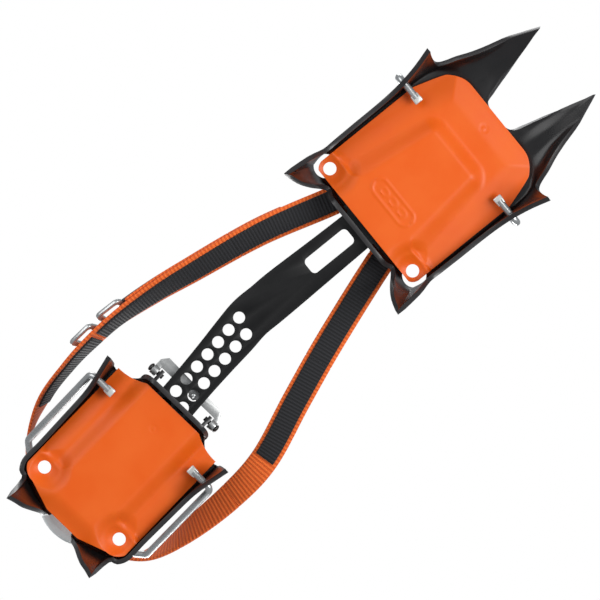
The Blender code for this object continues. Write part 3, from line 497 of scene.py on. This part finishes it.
def moulded_plate(name, half_width, rear_edge, front_edge, relief, place, finish):
    """A grid drawn out to the plate's outline and down to its relief, with its wall on the boot's side."""
    mesh = bmesh.new()
    bmesh.ops.create_grid(mesh, x_segments=PLATE_GRID[0], y_segments=PLATE_GRID[1], size=1.0)
    for point in mesh.verts:
        share, along = point.co.x, (point.co.y + 1) / 2
        x = half_width * (math.sin(share * math.pi / 2) * 0.35 + share * 0.65)
        rear, front = rear_edge(abs(x)), front_edge(abs(x))
        y = rear + (front - rear) * along
        point.co = (x, y, PLATE_RIM_Z - relief(x, y))
    grown = bmesh.ops.extrude_face_region(mesh, geom=mesh.faces[:])
    upper = [v for v in grown["geom"] if isinstance(v, bmesh.types.BMVert)]
    bmesh.ops.translate(mesh, vec=(0, 0, PLATE_WALL), verts=upper)
    return piece(name, mesh, place, (finish,), 50.0)


# Injection-moulded thermoplastic elastomer: saturated orange, softly shiny, with the fine spark-eroded grain
# of the mould, drawn at 0.6 mm so that it shows, and slightly paler where it has been rubbed.
orange_elastomer = bpy.data.materials.new("moulded_orange_elastomer")
orange_elastomer.use_nodes = True
tree = orange_elastomer.node_tree
shader = tree.nodes["Principled BSDF"]
place = add(tree, "TexCoord").outputs["Object"]
cloud = add(tree, "TexNoise", Vector=place, Scale=1 / 0.018, Detail=3.0)
tint = add(
    tree, "Mix", {"data_type": "RGBA"}, _0=cloud.outputs["Fac"], _6=linear("E2580C"), _7=linear("E96614")
)
rub = add(tree, "MapRange", Value=cloud.outputs["Fac"], From_Min=0.3, From_Max=0.7, To_Min=0.36, To_Max=0.48)
grain = add(tree, "TexNoise", Vector=place, Scale=1 / 0.0006, Detail=1.5)
bump = add(tree, "Bump", Strength=0.18, Distance=0.00005, Height=grain.outputs["Fac"])
tree.links.new(tint.outputs[2], shader.inputs["Base Color"])
tree.links.new(rub.outputs[0], shader.inputs["Roughness"])
tree.links.new(bump.outputs[0], shader.inputs["Normal"])
shader.inputs["Subsurface Weight"].default_value = 0.08
shader.inputs["Subsurface Radius"].default_value = (0.003, 0.001, 0.0005)
shader.inputs["IOR"].default_value = 1.5
shader.inputs["Specular IOR Level"].default_value = 0.3

for name, node, body, half_width, edges, relief, place, hole_x in (
    ("front_plate", "front_antiball_plate", "front_section", 40.0, (front_rear_edge, front_front_edge),
     front_relief, FRONT_PLACE, FRONT_HOLE_X),
    ("heel_plate", "heel_antiball_plate", "heel_section", 35.1, (heel_rear_edge, heel_front_edge),
     heel_relief, HEEL_PLACE, HEEL_HOLE_X),
):
    plate = moulded_plate(name, half_width, *edges, relief, place, orange_elastomer)
    holes = [round_bar((sign * hole_x, 0, 30), (sign * hole_x, 0, 40), PLATE_HOLE, 40) for sign in (1, -1)]
    worked(plate, holes, place)
    eased(plate, 0.25, 50.0, 60.0)
    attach(plate, body)
    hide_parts(node)

# Linking bar
# A strip of 3 mm spring-tempered steel in the same satin black, cut by laser: a T head that hooks behind the
# front frame's flange, a window that lets it flex, and two staggered rows of holes for the clip's peg.
BAR_LOW, BAR_HIGH = 31.0, 34.0
BAR_TURN = math.radians(10.3)
BAR_ALONG = Vector((-math.sin(BAR_TURN), -math.cos(BAR_TURN)))
BAR_ASIDE = Vector((math.cos(BAR_TURN), -math.sin(BAR_TURN)))
BAR_OFFSET, BAR_END = 14.71, 171.0
HOLE_PITCH, HOLE_RADIUS, HOLES_IN_ROW = 8.4, 3.1, 10
ROW_STARTS = ((83.4, 4.2), (87.6, -4.2))


def bar_place(run, aside):
    """A point of the bar's rear straight run, at its distance along the run and aside."""
    return BAR_ALONG * run + BAR_ASIDE * (BAR_OFFSET + aside)


bar_middle = [(0.4, -6.9, 10.65), (0.4, -30.0, 11.2), (0.5, -58.0, 12.0), (0.3, -70.0, 12.0)]
for run, half in ((80, 12.0), (92, 11.8), (108, 11.1), (128, 10.65), (BAR_END, 10.65)):
    bar_middle.append((*bar_place(run, 0), half))
sides = {1: [], -1: []}
fair = through(bar_middle, 6)
for n, (x, y, half) in enumerate(fair):
    before, after = Vector(fair[max(n - 1, 0)][:2]), Vector(fair[min(n + 1, len(fair) - 1)][:2])
    along = (after - before).normalized()
    for sign in sides:
        sides[sign].append((x - along.y * half * sign, y + along.x * half * sign))
outline = [(14.6, -3.2), (14.6, -6.9)] + sides[1] + sides[-1][::-1] + [(-14.6, -6.9), (-14.6, -3.2)]
mesh = bmesh.new()
strip = mesh.faces.new([mesh.verts.new((x, y, BAR_LOW)) for x, y in outline])
grown = bmesh.ops.extrude_face_region(mesh, geom=[strip])
raised = [v for v in grown["geom"] if isinstance(v, bmesh.types.BMVert)]
bmesh.ops.translate(mesh, vec=(0, 0, BAR_HIGH - BAR_LOW), verts=raised)
bar_black = painted_steel("matt_black_dipped_spring_steel", "0C0C0D", 0.42, 1.1, 0.25)
bar = piece("bar_strip", mesh, FRONT_PLACE, (bar_black,))
window = bmesh.new()
bmesh.ops.create_cube(window, size=1.0)
bmesh.ops.scale(window, vec=(9.2, 28.0, 12.0), verts=window.verts)
bmesh.ops.translate(window, vec=(1.0, -27.2, 32.5), verts=window.verts)
upright = [e for e in window.edges if abs(e.verts[0].co.z - e.verts[1].co.z) > 1]
bmesh.ops.bevel(window, geom=upright, offset=2.5, affect="EDGES", segments=6, profile=0.5, material=-1)
bar_cuts = [window]
for start, aside in ROW_STARTS:
    for n in range(HOLES_IN_ROW):
        hole = bar_place(start + n * HOLE_PITCH, aside)
        bar_cuts.append(round_bar((*hole, 28), (*hole, 37), HOLE_RADIUS, 36))
worked(bar, bar_cuts, FRONT_PLACE)
eased(bar, 0.15)
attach(bar, "linking_bar")
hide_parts("linking_bar")

# Bails
# Two hoops of 3.8 mm stainless spring wire, bent cold. Their ends turn in through the side rails and are
# flattened into heads inside, which hold them in. The front hoop takes the boot's toe, the rear its heel.
WIRE = 3.8
HEEL_LIFT = math.radians(48.0)
HEAD_SIZE = (5.4, 5.0, 2.4)     # a flattened end: along the pin, and its width and thickness


def drawn_metal(name, hex_colour, roughness, metallic, line_mm):
    """Bare metal with the fine marks of drawing and handling, drawn wider than real so that they show."""
    made = bpy.data.materials.new(name)
    made.use_nodes = True
    tree = made.node_tree
    shader = tree.nodes["Principled BSDF"]
    place = add(tree, "TexCoord").outputs["Object"]
    marks = add(tree, "TexNoise", Vector=place, Scale=1 / (line_mm * MM), Detail=3.0, Roughness=0.6)
    cloud = add(tree, "TexNoise", Vector=place, Scale=1 / 0.011, Detail=2.0)
    base = Vector(linear(hex_colour)[:3])
    darker, paler = (*(base * 0.82), 1.0), (*(base * 1.12), 1.0)
    tint = add(tree, "Mix", {"data_type": "RGBA"}, _0=cloud.outputs["Fac"], _6=darker, _7=paler)
    shine = add(
        tree, "MapRange", Value=marks.outputs["Fac"], From_Min=0.3, From_Max=0.7,
        To_Min=roughness - 0.07, To_Max=roughness + 0.08,
    )
    bump = add(tree, "Bump", Strength=0.1, Distance=0.00004, Height=marks.outputs["Fac"])
    tree.links.new(tint.outputs[2], shader.inputs["Base Color"])
    tree.links.new(shine.outputs[0], shader.inputs["Roughness"])
    tree.links.new(bump.outputs[0], shader.inputs["Normal"])
    shader.inputs["Metallic"].default_value = metallic
    return made


bright_wire = drawn_metal("cold_drawn_stainless_wire", "C6C8C8", 0.3, 0.85, 0.5)
pressed_head = drawn_metal("pressed_bright_zinc_head", "DCDCD8", 0.34, 0.5, 0.6)


def rounded_route(corners, radii, steps):
    """The polyline through corners, with each inner corner rounded to its own radius."""
    route = [Vector(corners[0])]
    for n, radius in enumerate(radii, 1):
        corner = Vector(corners[n])
        back = (Vector(corners[n - 1]) - corner).normalized()
        ahead = (Vector(corners[n + 1]) - corner).normalized()
        half = math.pi / 2 - back.angle(ahead) / 2
        reach = radius * math.tan(half)
        centre = corner + (back + ahead).normalized() * radius / math.cos(half)
        start, end = corner + back * reach - centre, corner + ahead * reach - centre
        for step in range(steps + 1):
            turned_by = 2 * half * step / steps
            swept = start * math.sin(2 * half - turned_by) + end * math.sin(turned_by)
            route.append(centre + swept / math.sin(2 * half))
    route.append(Vector(corners[-1]))
    return route


def wire_hoop(name, half_route, head_x, place, body, node):
    """A round wire swept along the half route and its mirror, with a flattened head on each end."""
    route = half_route + [Vector((-p.x, p.y, p.z)) for p in half_route[::-1]]
    line = bpy.data.curves.new(name + "_line", "CURVE")
    line.dimensions, line.bevel_depth, line.bevel_resolution = "3D", WIRE / 2, 6
    line.use_fill_caps = True
    spline = line.splines.new("POLY")
    spline.points.add(len(route) - 1)
    for point, middle in zip(spline.points, route):
        point.co = (*middle, 1.0)
    holder = bpy.data.objects.new(name + "_line", line)
    bpy.context.collection.objects.link(holder)
    bpy.context.view_layer.update()
    swept = bpy.data.meshes.new_from_object(holder.evaluated_get(bpy.context.evaluated_depsgraph_get()))
    bpy.data.objects.remove(holder)
    mesh = bmesh.new()
    mesh.from_mesh(swept)
    bmesh.ops.remove_doubles(mesh, verts=mesh.verts, dist=1e-4)
    for sign in (1, -1):
        middle = Vector((sign * head_x, *half_route[0][1:]))
        head = bmesh.ops.create_cube(mesh, size=1.0)["verts"]
        bmesh.ops.scale(mesh, vec=HEAD_SIZE, verts=head)
        for point in head:
            point.co.y *= 0.86 if point.co.x * sign > 0 else 1.0
        bmesh.ops.translate(mesh, vec=middle, verts=head)
        for face in {f for v in head for f in v.link_faces}:
            face.material_index = 1
        rim = {e for v in head for e in v.link_edges}
        bmesh.ops.bevel(
            mesh, geom=list(rim), offset=0.75, affect="EDGES", segments=3, profile=0.5, material=-1
        )
    made = piece(name, mesh, place, (bright_wire, pressed_head), 50.0)
    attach(made, body)
    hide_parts(node)


toe_route = [Vector((34.4, TOE_PIN_Y, PIN_Z))]
toe_corners = [(x, TOE_PIN_Y, z) for x, z in ((41, PIN_Z), (48.6, PIN_Z), (48.6, 68), (29, 88), (2, 88))]
toe_route += rounded_route(toe_corners, (3.0, 12.0, 8.0), 10)
wire_hoop("toe_hoop", toe_route, 34.3, FRONT_PLACE, "toe_bail", "toe_bail")


def on_bail(x, y):
    """The point of the heel bail's plane above (x, y)."""
    return Vector((x, y, PIN_Z + (HEEL_PIN_Y - y) * math.tan(HEEL_LIFT)))


heel_route = [Vector((30.4, HEEL_PIN_Y, PIN_Z))]
heel_corners = [(36.5, HEEL_PIN_Y, PIN_Z), (43.2, HEEL_PIN_Y, PIN_Z)]
heel_corners += [on_bail(43.2, 3.4), on_bail(24, -12), on_bail(2, -12)]
heel_route += rounded_route(heel_corners, (3.0, 5.0, 4.5), 10)
wire_hoop("heel_hoop", heel_route, 30.3, HEEL_PLACE, "heel_bail", "heel_bail")

# Adjuster clip, rivets, heel lever, fine adjuster and buckle
# The clip is a flat spring-steel loop on two rivets; its peg drops into a hole of the bar. The lever is an
# anodised alloy shell on the heel hoop, with a knurled wheel, a screw and a moulded cradle for the boot.
# The buckle is two punched and tumbled stainless rings.
spring_steel = drawn_metal("tumbled_spring_steel", "B6B7B6", 0.36, 0.85, 0.7)
pale_alloy = drawn_metal("bead_blasted_anodised_alloy", "DDE0E0", 0.46, 0.25, 0.5)
dark_nylon = painted_steel("moulded_dark_nylon", "3A3A3C", 0.55, 0.6)
rivet_steel = drawn_metal("oiled_rivet_steel", "4A4948", 0.4, 0.9, 0.6)


def deburred(name, node, body, width, finish, smooth=35.0):
    """The piece at its CAD place and size, with its edges rounded."""
    mesh = bmesh.new()
    mesh.from_mesh(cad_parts[node].data)
    bmesh.ops.remove_doubles(mesh, verts=mesh.verts, dist=1e-6)
    bmesh.ops.dissolve_limit(mesh, angle_limit=math.radians(1.0), verts=mesh.verts, edges=mesh.edges)
    bmesh.ops.scale(mesh, vec=(1 / MM, 1 / MM, 1 / MM), verts=mesh.verts)
    sharp = [e for e in mesh.edges if e.is_manifold and e.calc_face_angle() > math.radians(32)]
    bmesh.ops.bevel(
        mesh, geom=sharp, offset=width, affect="EDGES", segments=3, profile=0.5, material=-1,
        clamp_overlap=True,
    )
    made = piece(name, mesh, Matrix.Identity(4), (finish,), smooth)
    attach(made, body)
    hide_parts(node)


for name, node, body, width, finish, slot in (
    ("clip_loop", "adjuster_clip", "adjuster_clip", 0.3, spring_steel, "spring_steel"),
    ("clip_peg", "adjuster_peg", "adjuster_clip", 0.3, bright_wire, "bright_wire"),
    ("lever_shell", "heel_lever", "heel_lever", 0.7, pale_alloy, "pale_alloy"),
    ("adjuster_knob", "adjuster_wheel", "fine_adjuster", 0.25, pale_alloy, "pale_alloy"),
    ("adjuster_spindle", "adjuster_screw", "fine_adjuster", 0.3, bright_wire, "bright_wire"),
    ("cradle_pad", "heel_cradle", "heel_cradle", 0.6, dark_nylon, "grey_tape"),
    ("buckle_fixed", "buckle_ring_fixed", "buckle_ring_fixed", 0.55, bright_wire, "bright_wire"),
    ("buckle_slider", "buckle_ring_slider", "buckle_ring_slider", 0.55, bright_wire, "bright_wire"),
):
    deburred(name, node, body, width, finish)

for sign, label in ((1, "right"), (-1, "left")):
    rivet = round_bar((sign * 15.2, CLIP_Y, CLIP_Z), (sign * 23.4, CLIP_Y, CLIP_Z), 1.3)
    head = bmesh.ops.create_uvsphere(rivet, u_segments=24, v_segments=12, radius=2.3)["verts"]
    bmesh.ops.scale(rivet, vec=(0.5, 1.0, 1.0), verts=head)
    bmesh.ops.translate(rivet, vec=(sign * 23.2, CLIP_Y, CLIP_Z), verts=head)
    made = piece("clip_pin_" + label, rivet, HEEL_PLACE, (rivet_steel,), 50.0)
    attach(made, "heel_section")
    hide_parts("clip_rivet_" + label)

# Safety strap
# One length of 15 mm orange polyester webbing, ribbed across every 2.1 mm, looped over the toe hoop and run
# back on both sides to the heel lever. A narrower black ribbed webbing is sewn along its ground side. The
# loose end comes out of the buckle over the strap and carries a dark pull tab.
STEPS = 12                      # smooth points from one point of the route to the next
CAD_STEPS = 3
WEBBING, SLEEVE, TAB = (15.0, 1.5), (11.0, 1.0), (12.0, 1.3)
LAYER = 0.35                    # between one layer of webbing and the next
WARP_PITCH = 0.75               # one thread along the webbing, drawn coarser than real so that it shows


def heel_point(x, y, z, facing):
    turn = Matrix.Rotation(math.radians(-7.0), 3, "Z")
    return (*(turn @ Vector((x, y, z)) + Vector((-19.8, -209.8, 0))), *(turn @ Vector(facing)))


TOE_LOOP = [
    (3.0, 46.0, 84.0, 0, 0.5, -0.86),
    (1.2, 52.6, 89.2, 0, 0.45, -0.9),
    (0.0, 58.0, 91.6, 0, 0, -1),
    (0.0, 61.6, 88.0, 0, -1, 0),
    (0.0, 58.0, 84.4, 0, 0, 1),
    (-1.2, 52.4, 81.8, 0, -0.5, 0.86),
    (-3.0, 46.0, 77.0, 0, -0.6, 0.8),
]
RIGHT_ARM = [
    (3.0, 46.0, 84.0, 0, 0.6, -0.8),
    (9.0, 31.0, 67.0, 0, 0.6, -0.8),
    (15.6, 12.0, 51.0, 0, 0.25, -0.97),
    (20.2, -8.6, 47.2, 0, 0, -1),
    (31.4, -48.7, 51.0, -0.35, 0, -0.94),
    (38.6, -91.3, 58.0, -0.58, 0, -0.81),
    (41.6, -112.0, 62.0, -0.72, 0, -0.69),
    (43.4, -134.9, 66.0, -0.86, 0, -0.51),
    (42.6, -152.9, 70.0, -0.9, 0, -0.44),
    heel_point(55.0, 47.0, 77.0, (-0.93, 0, -0.37)),
    heel_point(52.5, 26.0, 86.0, (-0.97, 0, -0.25)),
    heel_point(43.6, 4.6, 100.0, (-0.9, 0.44, 0)),
    heel_point(30.0, -8.6, 115.0, (-0.55, 0.84, 0)),
    heel_point(14.0, -12.2, 123.0, (-0.4, 0.92, 0)),
    heel_point(0.0, -16.2, 125.0, (0, 1, 0)),
]
LEFT_ARM = [
    (-3.0, 46.0, 77.0, 0, 0.6, -0.8),
    (-9.0, 31.0, 61.0, 0, 0.55, -0.83),
    (-14.8, 12.0, 50.0, 0, 0.25, -0.97),
    (-19.5, -9.3, 47.2, 0, 0, -1),
    (-35.4, -55.7, 49.5, 0, 0, -1),
    (-48.5, -89.0, 54.0, 0.05, 0, -1),
    (-61.9, -121.3, 61.0, 0.15, 0, -0.98),
    (-66.0, -147.2, 70.0, 0.35, 0, -0.93),
    (-66.2, -174.8, 82.0, 0.62, 0, -0.78),
    heel_point(-45.6, 9.4, 96.0, (0.93, 0, -0.36)),
    heel_point(-37.0, -4.0, 108.0, (0.8, 0.6, 0)),
    heel_point(-25.0, -9.6, 118.0, (0.5, 0.86, 0)),
    heel_point(-14.0, -12.2, 123.5, (0.4, 0.92, 0)),
    heel_point(0.0, -16.2, 125.0, (0, 1, 0)),
]


def strap_frames(route):
    """The webbing's middle, its direction, sideways and ground-side vectors, and its run along the route."""
    frames, run = [], 0.0
    curve = through(route, STEPS)
    for n, station in enumerate(curve):
        before = Vector(curve[max(n - 1, 0)][:3])
        after = Vector(curve[min(n + 1, len(curve) - 1)][:3])
        along = (after - before).normalized()
        aside = along.cross(Vector(station[3:])).normalized()
        if n:
            run += (Vector(station[:3]) - Vector(curve[n - 1][:3])).length
        frames.append((Vector(station[:3]), along, aside, aside.cross(along), run))
    return frames


def ribbed_weave(name, hex_groove_shade, hex_crest_highlight, rib_mm, roughness):
    """Woven webbing: round ribs across it from the thick filling yarn, and fine warp threads along it.
    Its colour is painted darker in the grooves and paler on the tops of ribs and threads, a painted shade and
    highlight, with a random fuzz over it.
    """
    made = bpy.data.materials.new(name)
    made.use_nodes = True
    tree = made.node_tree
    shader = tree.nodes["Principled BSDF"]
    weave = add(tree, "UVMap").outputs["UV"]
    ribs = add(
        tree, "TexWave", {"bands_direction": "Y"}, Vector=weave, Scale=math.pi / 10 / rib_mm, Distortion=0.35,
        Detail=1.0, Detail_Scale=2.0,
    )
    warp = add(
        tree, "TexWave", {"bands_direction": "X"}, Vector=weave, Scale=math.pi / 10 / WARP_PITCH,
        Distortion=0.6,
    )
    fuzz = add(tree, "TexNoise", Vector=weave, Scale=1.6, Detail=3.0)
    height = add(
        tree, "Math", {"operation": "MULTIPLY_ADD"}, _0=warp.outputs["Fac"], _1=0.28, _2=ribs.outputs["Fac"]
    )
    shade = add(tree, "Math", {"operation": "MULTIPLY_ADD"}, _0=fuzz.outputs["Fac"], _1=0.5, _2=-0.25)
    # the colour follows the ribs' and threads' height: painted shade in the grooves, painted highlight on the
    # tops
    rib_shade_and_fuzz = add(
        tree, "Math", {"operation": "MULTIPLY_ADD", "use_clamp": True}, _0=height.outputs[0], _1=0.78,
        _2=shade.outputs[0],
    )
    dark, pale = linear(hex_groove_shade), linear(hex_crest_highlight)
    tint = add(tree, "Mix", {"data_type": "RGBA"}, _0=rib_shade_and_fuzz.outputs[0], _6=dark, _7=pale)
    bump = add(tree, "Bump", Strength=0.75, Distance=0.00035, Height=height.outputs[0])
    tree.links.new(tint.outputs[2], shader.inputs["Base Color"])
    tree.links.new(bump.outputs[0], shader.inputs["Normal"])
    shader.inputs["Roughness"].default_value = roughness
    shader.inputs["Sheen Weight"].default_value = 0.25
    shader.inputs["Sheen Roughness"].default_value = 0.4
    return made


# Each webbing's first colour is its painted shade in the grooves, the second its painted highlight on the rib
# tops.
orange_weave = ribbed_weave("orange_polyester_webbing", "E0560F", "FF7A2C", 2.1, 0.78)
black_weave = ribbed_weave("black_ribbed_webbing", "08080A", "26262A", 1.8, 0.8)
tab_weave = ribbed_weave("dark_coated_tab", "3C3C3E", "5A5A5C", 1.2, 0.6)


def band(name, frames, size, offset, finish, nodes, bodies):
    """A flat band along the frames. It rides on one body; a band that runs between two bodies is left at its
    place, on none.
    """
    width, thickness = size
    mesh = bmesh.new()
    last = len(frames) - 1
    bmesh.ops.create_grid(mesh, x_segments=8, y_segments=last, size=1.0)
    weave = mesh.loops.layers.uv.new("weave")
    run_at = {}
    for point in mesh.verts:
        share, at = point.co.x, (point.co.y + 1) / 2 * last
        low = min(int(at), last - 1)
        middle, along, aside, out, run = (
            a + (b - a) * (at - low) for a, b in zip(frames[low], frames[low + 1])
        )
        crown = 0.12 * thickness * (1 - share * share)
        point.co = middle + aside * share * width / 2 + out * (offset + crown)
        run_at[point] = (share * width / 2, run)
    for face in mesh.faces:
        for loop in face.loops:
            loop[weave].uv = run_at[loop.vert]
    made = piece(name, mesh, FRONT_PLACE, (finish,), 60.0)
    made.data.uv_layers["weave"].active_render = True
    wall = made.modifiers.new("thickness", "SOLIDIFY")
    wall.thickness, wall.offset = thickness * MM, 0.0
    edge = made.modifiers.new("selvedge", "BEVEL")
    edge.width, edge.segments = 0.3 * thickness * MM, 2
    edge.limit_method, edge.angle_limit = "ANGLE", math.radians(50)
    applied(made, 55.0)
    if len(bodies) == 1:
        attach(made, bodies[0])
    else:
        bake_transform(made)
    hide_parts(*nodes)
    return made


strap = strap_frames(RIGHT_ARM + LEFT_ARM[-2::-1])


def stretch(start, end):
    """The strap's frames from one CAD step to another."""
    return strap[round(start * STEPS / CAD_STEPS) : round(end * STEPS / CAD_STEPS) + 1]


band("strap_over_toe_hoop", strap_frames(TOE_LOOP), WEBBING, 0, orange_weave,
     ["strap_toe_loop"], ["toe_bail"])
for name, start, end, nodes, bodies in (
    ("strap_right_1", 0, 9, ["strap_front_right"], ["toe_bail", "front_section"]),
    ("strap_right_2", 9, 13, ["strap_middle_right"], ["front_section", "linking_bar"]),
    ("strap_right_3", 13, 22, ["strap_middle_right"], ["linking_bar", "heel_section"]),
    ("strap_right_4", 22, 30, ["strap_rear_right"], ["heel_section"]),
    ("strap_right_5", 30, 33, ["strap_rear_right"], ["heel_section", "heel_bail"]),
    ("strap_right_6", 33, 38, ["strap_heel"], ["heel_bail", "heel_lever"]),
    ("strap_behind_heel", 38, 46, ["strap_heel"], ["heel_lever"]),
    ("strap_left_6", 46, 51, ["strap_heel"], ["heel_lever", "heel_bail"]),
    ("strap_left_5", 51, 56, ["strap_rear_left"], ["heel_bail", "heel_section"]),
    ("strap_left_4", 56, 60, ["strap_rear_left"], ["heel_section"]),
    ("strap_left_3", 60, 68, ["strap_rear_left", "strap_middle_left"], ["heel_section", "linking_bar"]),
    ("strap_left_2", 68, 72, ["strap_middle_left"], ["linking_bar", "front_section"]),
    ("strap_left_1", 72, 81, ["strap_front_left"], ["front_section", "toe_bail"]),
):
    band(name, stretch(start, end), WEBBING, 0, orange_weave, nodes, bodies)

sleeve_offset = (WEBBING[1] + SLEEVE[1]) / 2 + LAYER - 0.3
for name, start, end, nodes, bodies, reach in (
    ("black_right_1", 0.3, 9, ["sleeve_front_right"], ["toe_bail", "front_section"], (0, 9)),
    ("black_right_2", 9, 13, ["sleeve_middle_right"], ["front_section", "linking_bar"], (9, 13)),
    ("black_right_3", 13, 22, ["sleeve_middle_right"], ["linking_bar", "heel_section"], (13, 22)),
    ("black_right_4", 22, 23, ["sleeve_middle_right"], ["heel_section"], None),
    ("black_right_5", 23.5, 30.5, ["sleeve_rear_right"], ["heel_section"], None),
    ("black_left_3", 63, 68, ["sleeve_middle_left"], ["heel_section", "linking_bar"], (60, 68)),
    ("black_left_2", 68, 72, ["sleeve_middle_left"], ["linking_bar", "front_section"], (68, 72)),
    ("black_left_1", 72, 80.7, ["sleeve_front_left"], ["front_section", "toe_bail"], (72, 81)),
):
    band(name, stretch(start, end), SLEEVE, sleeve_offset, black_weave, nodes, bodies)

tail_offset = -(WEBBING[1] + LAYER)
tab_offset = tail_offset - (WEBBING[1] + TAB[1]) / 2 - LAYER
band("strap_loose_end_front", stretch(11, 13), WEBBING, tail_offset, orange_weave,
     ["strap_tail"], ["front_section", "linking_bar"])
band("strap_loose_end", stretch(13, 19.75), WEBBING, tail_offset, orange_weave,
     ["strap_tail"], ["linking_bar", "heel_section"])
band("pull_tab", stretch(15, 20), TAB, tab_offset, tab_weave, ["strap_pull_tab"],
     ["linking_bar", "heel_section"])
